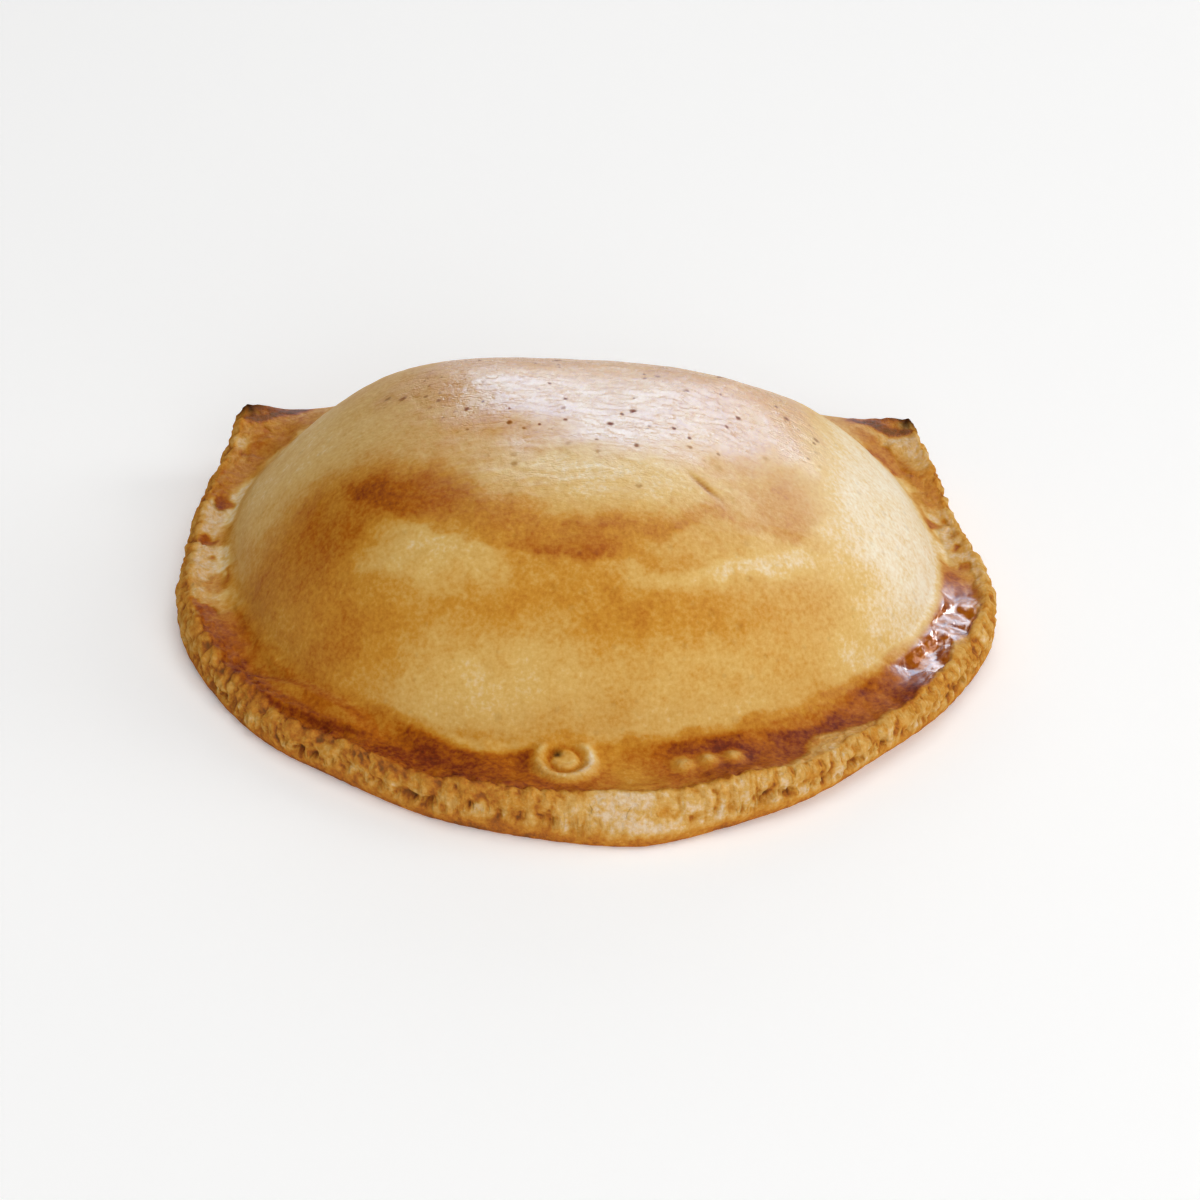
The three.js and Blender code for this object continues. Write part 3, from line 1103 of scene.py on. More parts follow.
    def crags(self, skin: Skin) -> Array:
        """Uneven lumps of torn dough, somewhat upright: about 0 in the creases and 1 on top."""
        place = skin.points * np.array(self.crag_stretch)
        return np.clip(self.crag_gain * Noise(37).billows(place, self.crag_pitch), 0.0, self.crag_most)

    def torn(self, skin: Skin, zones: Zones) -> Array:
        """Share of the torn upper layer: the wall above the seam and the outer part of the crest, which is
        less torn on the right; both are smoother at the apron.

        Args:
            skin: the plain form.
            zones: its zones.

        Returns:
            One share a vertex.
        """
        level, _ = self.seam(skin)
        upper = zones.wall * (1.0 - self.torn_below_loss * ease(level, *self.torn_levels))
        smoother = 1.0 - self.torn_right_loss * ease(skin.at.walked, *self.torn_right)
        crest = zones.band * ease(skin.from_crest, *self.torn_crest) * smoother
        return (upper + crest) * (1.0 - self.torn_apron_loss * skin.at.apron) * zones.rim

    def _wall(self, skin: Skin, zones: Zones) -> Array:
        """Crags and crumb on the torn layer, holes in the seam, a lip over it and a smooth ledge under it.

        Args:
            skin: the plain form.
            zones: its zones.

        Returns:
            One height a vertex.
        """
        level, _ = self.seam(skin)
        crumb = self.crumb.at(skin.points) + self.crag * (self.crags(skin) - self.crag_middle)
        lip = self.lip * bell(level - self.lip_level, self.lip_width)
        ledge = self.ledge * ease(level, *self.ledge_levels)
        below = (lip + ledge - self.pit * self.pits(skin)) * zones.wall * zones.rim
        return crumb * self.torn(skin, zones) + below

    def _ear(self, skin: Skin, zones: Zones) -> Array:
        """Flaky unevenness on the corner ears."""
        return self.ear_flakes.at(skin.points) * skin.at.ear * (zones.band + zones.wall) * zones.rim


class Trait(Enum):
    """What every vertex keeps for the finish; the value is the attribute's name. The last two are a place
    on the rim, in metres along it and as a share of the wall below its seam; the others are shares."""

    BAKE = "bake"
    GLOSS = "gloss"
    CRUMB = "crumb"
    # Char share: scorched tips and nick, and painted shade in the holes of the seam and of the button.
    CHAR = "char"
    SPECK = "speck"
    CRAZE = "craze"
    SEAM = "seam"
    ALONG = "along"
    LEVEL = "level"


def clouded(points: Array, slow: Pair = (11.0, 1.6), quick: Pair = (3.6, 0.4)) -> Array:
    """Plan of the points, pushed about by noise so that patches get cloud-like edges.

    Args:
        points: places in millimetres, shape (n, 3).
        slow: pitch of the wide pushes and how far they go.
        quick: the same of the small ones.

    Returns:
        Moved places in plan, shape (n, 2).
    """
    wide = np.stack([Noise(seed).cloudy(points, slow[0]) for seed in (51, 52)], axis=-1)
    small = np.stack([Noise(seed).cloudy(points, quick[0]) for seed in (53, 54)], axis=-1)
    return points[:, :2] + slow[1] * wide + quick[1] * small


@dataclass(frozen=True)
class Wash:
    """Egg wash on the dome: thickest on top, dried to wrinkles in front, dull where it soaked in."""

    top_centre: Pair = (3.5, 19.0)
    top_reach: Pair = (33.0, 21.0)
    top_wander: Cloud = Cloud(56, 0.14, 7.0, 4)
    top_edge: Pair = (0.75, 1.1)
    dried_centre: Pair = (-3.0, -6.0)
    dried_reach: Pair = (15.0, 5.0)
    thin_gloss: float = 0.44
    top_gloss: float = 0.38
    dried_gloss: float = 0.14
    dull_top: Patch = Patch((-13.0, 5.5), (8.0, 3.6), -15.0, 0.24)
    dull_left: Patch = Patch((-33.0, -4.0), (13.0, 7.0), -20.0, 0.16)
    dried_specks: float = 0.7
    least_specks: float = 0.12

    def top(self, skin: Skin) -> Array:
        """Share of the dome's top: an ellipse in plan with an uneven edge.

        Args:
            skin: the plain form.

        Returns:
            One share a vertex.
        """
        at = skin.points
        x = (at[:, 0] - self.top_centre[0]) / self.top_reach[0]
        y = (at[:, 1] - self.top_centre[1]) / self.top_reach[1]
        return 1.0 - ease(np.hypot(x, y) + self.top_wander.at(at), *self.top_edge)

    def dried(self, skin: Skin) -> Array:
        """Share of the wash that has dried to wrinkles."""
        return spot(skin.points, self.dried_centre, self.dried_reach)

    def gloss(self, skin: Skin) -> Array:
        """Gloss of the dome.

        Args:
            skin: the plain form.

        Returns:
            One share a vertex.
        """
        plan = clouded(skin.points)
        dull = self.dull_top.over(plan) + self.dull_left.over(plan)
        gloss = self.thin_gloss + self.top_gloss * self.top(skin)
        return gloss + self.dried_gloss * self.dried(skin) - dull

    def specks(self, skin: Skin) -> Array:
        """Share of specks: full on the top, somewhat less where the wash has dried, faint elsewhere."""
        specks = np.maximum(self.top(skin), self.dried_specks * self.dried(skin))
        return np.maximum(specks, self.least_specks)


@dataclass(frozen=True)
class DomeBrowning:
    """How brown the dome is: an orange crescent, browner and paler patches, clouds and an amber foot."""

    wash: Wash
    amber: float
    level: float = 0.37
    top_change: float = 0.13
    slow_clouds: Cloud = Cloud(55, 0.045, 13.0, 4)
    quick_clouds: Cloud = Cloud(58, 0.05, 4.0, 4)
    crescent_centre: Pair = (-1.0, 11.0)
    crescent_reach: Pair = (33.0, 27.0)
    crescent_change: float = 0.2
    crescent_inside: float = 5.5
    crescent_side_inside: float = 3.5
    crescent_inner_end: float = -2.0
    crescent_outer_edge: Pair = (2.6, 3.6)
    crescent_back: Pair = (-5.0, 4.0)
    crescent_middle_x: float = -8.0
    crescent_sides: Pair = (14.0, 30.0)
    crescent_side_loss: float = 0.3
    orange_left: Patch = Patch((-33, -4), (13, 7), -20, 0.1)
    tan_top: Patch = Patch((2, -6), (18, 4.5), 0, -0.13)
    golden_belt: Patch = Patch((-7, -21.5), (36, 4.6), 0, 0.13)
    brown_left: Patch = Patch((-42, -9), (14, 15), 0, 0.16)
    pale_cloud_left: Patch = Patch((-24, -14.5), (11, 3.8), -27, -0.13, 0.22)
    pale_cloud_right: Patch = Patch((16.5, -13.8), (16, 3.2), 20, -0.18, 0.25)
    pale_front: Patch = Patch((-19, -27), (19, 4.2), -4, -0.09)
    pale_foot: Patch = Patch((24, -24), (18, 3.5), 27, -0.08)
    cream_right: Patch = Patch((45, 9), (13, 25), 0, -0.29, 0.6)
    cream_left: Patch = Patch((-44, 22), (12, 16), 20, -0.1)
    golden_back: Patch = Patch((-4, 40), (40, 6), 0, 0.1)
    amber_ends: Pair = (50.0, 66.0)
    amber_edge: Pair = (-1.2, 0.3)
    amber_back: Pair = (0.1, 0.5)
    amber_share: float = 0.9
    foot_wave: Cloud = Cloud(57, 0.7, 5.0)

    def of(self, skin: Skin, zones: Zones, past: Array) -> Array:
        """Browning of every vertex.

        Args:
            skin: the plain form.
            zones: its zones.
            past: how far the dome's colour runs past its foot.

        Returns:
            The browning, of use on the dome and beside its foot.
        """
        plan = clouded(skin.points)
        patches = [getattr(self, entry.name) for entry in fields(self)]
        level = self.level + sum(patch.over(plan) for patch in patches if isinstance(patch, Patch))
        level = level + self.crescent_change * self._crescent(plan) + self.top_change * self.wash.top(skin)
        level = level + self.slow_clouds.at(skin.points) + self.quick_clouds.at(skin.points)
        wavy = skin.from_foot - past + self.foot_wave.at(skin.points)
        amber = self.amber_share * ease(wavy, *self.amber_edge) * zones.rim
        amber = amber * (1.0 - ease(np.abs(skin.at.walked), *self.amber_ends))
        return blend(level, self.amber, amber * (1.0 - ease(skin.at.rise, *self.amber_back)))

    def _crescent(self, plan: Array) -> Array:
        """Share of the crescent: a belt along the front of an ellipse, wider inwards at its ends, with a
        soft inner and a sharper outer edge; it fades out towards the back and weakens to the sides.

        Args:
            plan: places in plan, shape (n, 2).

        Returns:
            One share a place.
        """
        x = (plan[:, 0] - self.crescent_centre[0]) / self.crescent_reach[0]
        y = (plan[:, 1] - self.crescent_centre[1]) / self.crescent_reach[1]
        from_arc = (np.hypot(x, y) - 1.0) * sum(self.crescent_reach) / 2
        inside = self.crescent_inside + self.crescent_side_inside * np.minimum(1.0, x * x)
        belt = ease(from_arc, -inside, self.crescent_inner_end)
        belt = belt * (1.0 - ease(from_arc, *self.crescent_outer_edge))
        aside = np.abs(plan[:, 0] - self.crescent_middle_x)
        sides = 1.0 - self.crescent_side_loss * ease(aside, *self.crescent_sides)
        return belt * ease(-plan[:, 1], *self.crescent_back) * sides


@dataclass(frozen=True)
class Glaze:
    """Egg wash that pooled on the band: where it lies, and how brown the dough is under it."""

    relief: Relief
    width: float = 1.06
    narrow: Span = Span(32.0, 8.0, 0.48)
    flank: Pair = (45.0, 62.0)
    flank_narrow: float = 0.2
    ear_narrow: float = 0.4
    edge_wander: Cloud = Cloud(61, 0.12, 4.0)
    edge_softness: Pair = (0.08, 0.06)
    start_edge: Pair = (-0.3, 1.0)
    back_end: Pair = (0.25, 0.6)
    scraps: Cloud = Cloud(60, 1.0, 6.0)
    scrap_edge: Pair = (-0.45, -0.1)
    marks_clear: float = 0.85
    late: Span = Span(31.0, 8.0, 2.2)
    level: float = 0.725
    dark: tuple[Span, ...] = (Span(-28.0, 16.0, 0.06), Span(26.0, 14.0, 0.06), Span(48.0, 14.0, 0.06))
    orange_nose: Span = Span(-1.0, 7.0, -0.17)
    outer_half: Pair = (0.3, 0.6)
    left_outer: float = 0.04
    left_outer_from: Pair = (10.0, 24.0)
    left_inner: float = -0.07
    left_inner_from: Pair = (28.0, 44.0)
    pad: float = -0.02
    pad_crease: float = 0.1
    clouds: Cloud = Cloud(62, 0.1, 5.0, 4)
    moats: float = 0.08

    def cover(self, skin: Skin, zones: Zones, past: Array) -> Array:
        """Share of the glaze: from the foot of the dome out to an uneven limit, which is a share of the
        band's width. It begins later and ends sooner right of the front, ends sooner on the right flank and
        the ears, and is worn to scraps further back. The marks stand clear of it.

        Args:
            skin: the plain form.
            zones: its zones.
            past: how far the dome's colour runs past its foot.

        Returns:
            The share of every vertex.
        """
        walked = skin.at.walked
        limit = self.width - self.narrow.over(walked) - self.flank_narrow * ease(walked, *self.flank)
        limit = limit - self.ear_narrow * skin.at.ear
        edge = skin.band + self.edge_wander.at(skin.points)
        inside = 1.0 - ease(edge, limit - self.edge_softness[0], limit + self.edge_softness[1])
        start = ease(skin.from_foot - self.late.over(walked) - past, *self.start_edge)
        back = 1.0 - ease(skin.at.rise, *self.back_end)
        clear = 1.0 - self.marks_clear * self.relief.marks.raised(skin.points)
        rubbed = self.relief.worn(skin) * ease(self.scraps.at(skin.points), *self.scrap_edge)
        return inside * start * zones.band * clear * back * (1.0 - rubbed)

    def browning(self, skin: Skin) -> Array:
        """Browning under the glaze: red-brown, darkest on both sides of the nose, orange at the nose; on
        the left darker along the outer half and orange along the inner one.

        Args:
            skin: the plain form.

        Returns:
            The browning of every vertex.
        """
        at, walked = skin.points, skin.at.walked
        outer = ease(skin.band, *self.outer_half)
        left = self.left_outer * ease(-walked, *self.left_outer_from) * outer
        left = left + self.left_inner * ease(-walked, *self.left_inner_from) * (1.0 - outer)
        padded = self.relief.pad.over(at[:, :2]) / self.relief.pad.change
        creased = 4.0 * padded * (1.0 - padded)
        level = self.level + sum(span.over(walked) for span in (*self.dark, self.orange_nose)) + left
        level = level + self.pad * padded + self.pad_crease * creased
        return level + self.clouds.at(at) + self.moats * self.relief.marks.halo(at)


@dataclass(frozen=True)
class RimBrowning:
    """How brown the dry rim is: golden crumb, darker low down, pale on the apron and on the marks; painted
    shade darkens the creases between the crags and, in part, the left side. The bare flanks behind the glaze
    are pale with orange stains."""

    relief: Relief
    amber: float
    level: float = 0.38
    crumb: Cloud = Cloud(63, 0.17, 2.2, 4)
    clouds: Cloud = Cloud(64, 0.07, 12.0)
    # Painted shade in the creases between the crags.
    crease_shade: float = 0.42
    crease_edge: Pair = (0.1, 0.75)
    torn: float = -0.12
    pillar: float = -0.12
    pillar_width: float = 0.2
    ledge: float = 0.16
    ledge_levels: Pair = (0.1, 0.3)
    ground: float = 0.16
    ground_from: Pair = (0.75, 0.95)
    apron: float = -0.22
    apron_end: Pair = (0.6, 0.85)
    marks: float = -0.16
    # Darker on the left: browner crumb, and in part painted shade, as of a shadow lying on that side.
    left: float = 0.16
    left_from: Pair = (4.0, 22.0)
    left_crest: float = 0.14
    left_crest_end: Pair = (0.1, 0.4)
    right: float = 0.05
    right_from: Pair = (40.0, 52.0)
    bare_flank: Pair = (74.0, 86.0)
    bare_level: float = 0.15
    bare_stain: float = 0.36
    bare_stains: Cloud = Cloud(59, 1.0, 6.5, 4)
    bare_stain_edge: Pair = (-0.2, 0.35)
    amber_end: Pair = (2.0, 3.5)

    def of(self, skin: Skin, zones: Zones) -> Array:
        """Browning of every vertex, of use on the band and on the wall.

        Args:
            skin: the plain form.
            zones: its zones.

        Returns:
            The browning.
        """
        at, walked = skin.points, skin.at.walked
        seam_level, _ = self.relief.seam(skin)
        # Painted shade: the creases between the crags of torn dough are darkened.
        creases = 1.0 - ease(self.relief.crags(skin), *self.crease_edge)
        level = self.level + self.crumb.at(at) + self.clouds.at(at)
        level = level + (self.crease_shade * creases + self.torn) * self.relief.torn(skin, zones)
        low = self.ledge * ease(seam_level, *self.ledge_levels)
        low = low + self.ground * ease(skin.wall, *self.ground_from)
        pillars = self.pillar * bell(seam_level, self.pillar_width) * (1.0 - skin.at.apron)
        level = level + (low + pillars) * zones.wall
        level = level + self.apron * skin.at.apron * (1.0 - ease(skin.wall, *self.apron_end))
        level = level + self.marks * self.relief.marks.raised(at) * zones.band
        # Browner crumb on the left, and in part painted shade, as of a shadow on that side of the rim.
        left = self.left + self.left_crest * (1.0 - ease(skin.wall, *self.left_crest_end))
        level = level + left * ease(-walked, *self.left_from)
        level = level + self.right * ease(walked, *self.right_from)
        bare = ease(np.abs(walked), *self.bare_flank)
        stains = ease(self.bare_stains.at(at), *self.bare_stain_edge)
        level = blend(level, self.bare_level + self.bare_stain * stains, bare * zones.band)
        amber = (1.0 - ease(skin.from_foot, *self.amber_end)) * zones.band
        return blend(level, self.amber, amber * (1.0 - self.relief.marks.raised(at)) * (1.0 - bare))


@dataclass(frozen=True)
class EarBrowning:
    """How brown the corner ears are, alike on both sides: an orange strip beside the dome, a dark streak
    towards the tip, a dark lip along the back and a scorched tip. A line is its two ends and its width."""

    strip: tuple[Pair, Pair, float] = ((40.5, 42.5), (53.0, 29.0), 1.7)
    strip_level: float = 0.6
    strip_strength: float = 1.3
    streak: tuple[Pair, Pair, float] = ((41.0, 44.6), (49.4, 41.6), 0.8)
    streak_level: float = 0.95
    streak_strength: float = 1.4
    lip_y: Pair = (42.8, 44.4)
    lip_x: Pair = (37.0, 46.0)
    lip_level: float = 0.94
    tip: Pair = (49.5, 43.9)
    tip_reach: float = 1.5
    tip_char: float = 0.95
    tip_wander: Cloud = Cloud(68, 0.5, 1.5, 1)
    tip_wall: Pair = (0.05, 0.4)
    tip_wall_loss: float = 0.85
    line_wander: Cloud = Cloud(67, 0.5, 2.5, 1)
    wall_wander: Cloud = Cloud(70, 0.12, 4.0)
    wall_end: Pair = (0.0, 0.4)

    def on(self, skin: Skin, zones: Zones, bake: Array) -> Array:
        """Lays the ears' colours over the rest, on the wall only near its crest.

        Args:
            skin: the plain form.
            zones: its zones.
            bake: browning so far.

        Returns:
            Browning with the ears on it.
        """
        at = skin.points
        uneven = self.line_wander.at(at)
        plan = np.column_stack([np.abs(at[:, 0]) + uneven, at[:, 1] + uneven])
        upper = 1.0 - ease(skin.wall + self.wall_wander.at(at), *self.wall_end)
        top = (zones.band + zones.dome + zones.wall) * skin.at.ear * upper
        lip = ease(plan[:, 1], *self.lip_y) * ease(plan[:, 0], *self.lip_x)
        strip = self.strip_strength * self._along(plan, *self.strip) * zones.band
        streak = self.streak_strength * self._along(plan, *self.streak) * top
        bake = blend(bake, self.strip_level, np.clip(strip, 0.0, 1.0))
        bake = blend(bake, self.lip_level, np.clip(lip * top, 0.0, 1.0))
        return blend(bake, self.streak_level, np.clip(streak, 0.0, 1.0))

    @staticmethod
    def _along(plan: Array, start: Pair, end: Pair, width: float) -> Array:
        """Share of a line in plan: a bell of the distance to it.

        Args:
            plan: places in plan, shape (n, 2).
            start: the line's start.
            end: its end.
            width: width of the bell.

        Returns:
            One share a place.
        """
        first, last = np.array(start), np.array(end)
        way = last - first
        share = np.clip(((plan - first) @ way) / (way @ way), 0.0, 1.0)
        return bell(np.linalg.norm(plan - first - share[:, None] * way, axis=-1), width)

    def scorched(self, skin: Skin) -> Array:
        """Share of the scorched tips, a bell of the uneven distance to them, weak on the lower wall.

        Args:
            skin: the plain form.

        Returns:
            One share a vertex.
        """
        at = skin.points
        away = np.hypot(np.abs(at[:, 0]) - self.tip[0], at[:, 1] - self.tip[1])
        upper = 1.0 - self.tip_wall_loss * ease(skin.wall, *self.tip_wall)
        return self.tip_char * bell(away + self.tip_wander.at(at), self.tip_reach) * upper


@dataclass(frozen=True)
class Browning:
    """How the oven and the egg wash coloured the skin, with painted shade in the holes of the seam and of the
    button, as traits for the finish.
    """

    relief: Relief
    wash: Wash = field(default_factory=Wash)
    ears: EarBrowning = field(default_factory=EarBrowning)
    amber: float = 0.62
    past_foot: Span = Span(-20.0, 8.0, 2.6)
    near_foot: Pair = (-0.5, 0.5)
    dry_band: Pair = (0.25, 0.5)
    fold_level: float = 0.47
    fold_clouds: Cloud = Cloud(65, 0.14, 11.0, 5)
    fold_ground: float = 0.2
    fold_ground_from: Pair = (0.3, 1.0)
    base_level: float = 0.46
    base_blotches: Cloud = Cloud(66, 0.16, 12.0, 4)
    base_edge: float = 0.1
    base_edge_width: float = 0.25
    fold_gloss: float = 0.5
    rim_gloss: float = 0.3
    blister_gloss: float = 0.7
    glossy_blisters: Pair = (0.3, 0.8)
    torn_seam: float = 0.6
    torn_seam_from: Pair = (5.0, 20.0)
    # Painted shade: how much darker the holes in the seam are made, as browning and as char.
    pit_shade: float = 0.5
    pit_shade_char: float = 0.1
    slash_browning: float = 0.3
    slash_char: float = 0.25
    base_crumb: float = 0.5
    craze_apron: Pair = (0.4, 0.7)
    craze_wall: Pair = (0.25, 0.5)
    crazing: Cloud = Cloud(69, 1.0, 3.4, 1)
    craze_edge: Pair = (0.1, 0.3)

    def traits(self, skin: Skin, zones: Zones) -> dict[Trait, Array]:
        """What the vertices keep, one entry each.

        Args:
            skin: the plain form.
            zones: its zones.

        Returns:
            The traits; the shares among them are between 0 and 1.
        """
        past = self.past_foot.over(skin.at.walked)
        glaze = Glaze(self.relief)
        cover = glaze.cover(skin, zones, past)
        bake = blend(self._plain(skin, zones, past), glaze.browning(skin), cover)
        bake = self.ears.on(skin, zones, bake)
        dry_wall = zones.wall * zones.rim
        level, opened = self.relief.seam(skin)
        torn = self.relief.torn(skin, zones) * ease(skin.at.walked, *self.torn_seam_from)
        # Painted shade: the holes in the seam are darkened in the traits below.
        pits = self.relief.pits(skin) * dry_wall
        # Painted shade: the small hole in the button gets the near-black char colour.
        hole = self.relief.marks.pierced(skin.points) * zones.band
        slash = self.relief.slashed(skin) * zones.dome
        dry = dry_wall + zones.band * (1.0 - cover) * ease(skin.band, *self.dry_band)
        gloss = self.wash.gloss(skin) * zones.dome + self.rim_gloss * zones.band
        gloss = gloss + self.fold_gloss * zones.wall * (1.0 - zones.rim)
        blistered = ease(self.relief.blistered(skin), *self.glossy_blisters)
        glazed = self.rim_gloss + self.blister_gloss * blistered
        found = {
            Trait.BAKE: bake + self.pit_shade * pits + self.slash_browning * slash,
            Trait.GLOSS: blend(gloss, glazed, cover),
            Trait.CRUMB: np.maximum(dry, self.base_crumb * zones.base),
            Trait.CHAR: self.pit_shade_char * pits + hole + self.slash_char * slash + self.ears.scorched(skin),
            Trait.SPECK: self.wash.specks(skin) * zones.dome,
            Trait.CRAZE: self._crazed(skin) * zones.wall,
            Trait.SEAM: np.maximum(opened, self.torn_seam * torn) * dry_wall,
        }
        found = {trait: np.clip(value, 0.0, 1.0) for trait, value in found.items()}
        return found | {Trait.ALONG: skin.at.walked * MILLIMETRE, Trait.LEVEL: level}

    def _plain(self, skin: Skin, zones: Zones, past: Array) -> Array:
        """Browning without glaze and ears: dome, rim, fold and base, each on its zone.

        Args:
            skin: the plain form.
            zones: its zones.
            past: how far the dome's colour runs past its foot.

        Returns:
            The browning of every vertex.
        """
        dome = DomeBrowning(self.wash, self.amber).of(skin, zones, past)
        near = (1.0 - ease(skin.from_foot - past, *self.near_foot)) * zones.band
        rim = blend(RimBrowning(self.relief, self.amber).of(skin, zones), dome, near)
        bake = dome * zones.dome + rim * (zones.band + zones.wall * zones.rim)
        bake = bake + self._fold(skin) * zones.wall * (1.0 - zones.rim)
        return bake + self._base(skin) * zones.base

    def _fold(self, skin: Skin) -> Array:
        """Browning of the rounded fold: cloudy, and deeper towards the ground."""
        deeper = self.fold_ground * ease(skin.wall, *self.fold_ground_from)
        return self.fold_level + self.fold_clouds.at(skin.points) + deeper

    def _base(self, skin: Skin) -> Array:
        """Browning of the underside: blotched, and a little darker round its edge."""
        edge = self.base_edge * bell(skin.base, self.base_edge_width)
        return self.base_level + self.base_blotches.at(skin.points) + edge

    def _crazed(self, skin: Skin) -> Array:
        """Where the pale apron is crazed: in a few places near the crest."""
        upper_apron = ease(skin.at.apron, *self.craze_apron) * (1.0 - ease(skin.wall, *self.craze_wall))
        return upper_apron * ease(self.crazing.at(skin.points), *self.craze_edge)


@dataclass(frozen=True)
class SkinMesh:
    """Writes a skin into Blender as one closed mesh with its traits."""

    name: str

    def build(self, skin: Skin, traits: dict[Trait, Array]) -> bpy.types.Object:
        """Makes the mesh object at the origin.

        Args:
            skin: the skin, relief included.
            traits: what every vertex keeps for the finish.

        Returns:
            The object, linked to the scene.
        """
        corners = np.concatenate([skin.quads.ravel(), skin.fan.ravel()]).astype(np.int32)
        sizes = np.concatenate([np.full(len(skin.quads), 4), np.full(len(skin.fan), 3)]).astype(np.int32)
        starts = np.concatenate([[0], np.cumsum(sizes)[:-1]]).astype(np.int32)
        mesh = bpy.data.meshes.new(self.name)
        mesh.vertices.add(len(skin.points))
        mesh.vertices.foreach_set("co", (skin.points * MILLIMETRE).astype(np.float32).ravel())
        mesh.loops.add(len(corners))
        mesh.loops.foreach_set("vertex_index", corners)
        mesh.polygons.add(len(sizes))
        mesh.polygons.foreach_set("loop_start", starts)
        mesh.polygons.foreach_set("loop_total", sizes)
        mesh.polygons.foreach_set("use_smooth", np.ones(len(sizes), dtype=bool))
        for trait, value in traits.items():
            layer = mesh.attributes.new(trait.value, "FLOAT", "POINT")
            layer.data.foreach_set("value", value.astype(np.float32))
        mesh.update(calc_edges=True)
        mesh.validate()
        made = bpy.data.objects.new(self.name, mesh)
        bpy.context.scene.collection.objects.link(made)
        return made


class Wiring:
    """Short way to add nodes to a material and join them."""

    def __init__(self, name: str) -> None:
        """Starts an empty node material.

        Args:
            name: the material's name.
        """
        self.material = bpy.data.materials.new(name)
        self.material.use_nodes = True
        self.nodes = self.material.node_tree.nodes
        self.links = self.material.node_tree.links
        self.nodes.clear()

    def add(self, kind: str, inputs: dict | None = None, **settings: object) -> bpy.types.Node:
        """Adds a node.

        Args:
            kind: Blender's node type.
            inputs: input name or number to a value or to another node's output.
            settings: properties of the node itself.

        Returns:
            The node.
        """
        node = self.nodes.new(kind)
        for key, value in settings.items():
            setattr(node, key, value)
        for key, value in (inputs or {}).items():
            if isinstance(value, bpy.types.NodeSocket):
                self.links.new(value, node.inputs[key])
            else:
                node.inputs[key].default_value = value
        return node

    def trait(self, trait: Trait) -> bpy.types.NodeSocket:
        """Output of what the vertices keep."""
        return self.add("ShaderNodeAttribute", attribute_name=trait.value).outputs["Fac"]

    def sum(self, value: object, gain: object, offset: object) -> bpy.types.NodeSocket:
        """Output of value times gain plus offset."""
        inputs = {0: value, 1: gain, 2: offset}
        return self.add("ShaderNodeMath", inputs, operation="MULTIPLY_ADD").outputs[0]

    def times(self, first: object, second: object) -> bpy.types.NodeSocket:
        """Output of a product."""
        return self.add("ShaderNodeMath", {0: first, 1: second}, operation="MULTIPLY").outputs[0]

    def between(self, value: object, span: Pair, ends: Pair = (0.0, 1.0)) -> bpy.types.NodeSocket:
        """Output that goes from one end to the other while the value crosses its span, held outside it."""
        inputs = {"Value": value, 1: span[0], 2: span[1], 3: ends[0], 4: ends[1]}
        return self.add("ShaderNodeMapRange", inputs).outputs[0]

    def noise(self, place: object, scale: float, detail: float = 2.0, rough: float = 0.5) -> bpy.types.Node:
        """Adds a noise texture."""
        inputs = {"Vector": place, "Scale": scale, "Detail": detail, "Roughness": rough}
        return self.add("ShaderNodeTexNoise", inputs)

    def stray(self, place: object, scale: float, size: float) -> bpy.types.NodeSocket:
        """Output of a place moved by noise of a scale, by up to a size."""
        inputs = {0: self.noise(place, scale).outputs["Color"], 1: (size,) * 3, 2: place}
        return self.add("ShaderNodeVectorMath", inputs, operation="MULTIPLY_ADD").outputs[0]

    def tint(self, share: object, first: object, second: object) -> bpy.types.NodeSocket:
        """Output of the first colour turning into the second."""
        inputs = {"Factor": share, 6: first, 7: second}
        return self.add("ShaderNodeMix", inputs, data_type="RGBA").outputs[2]


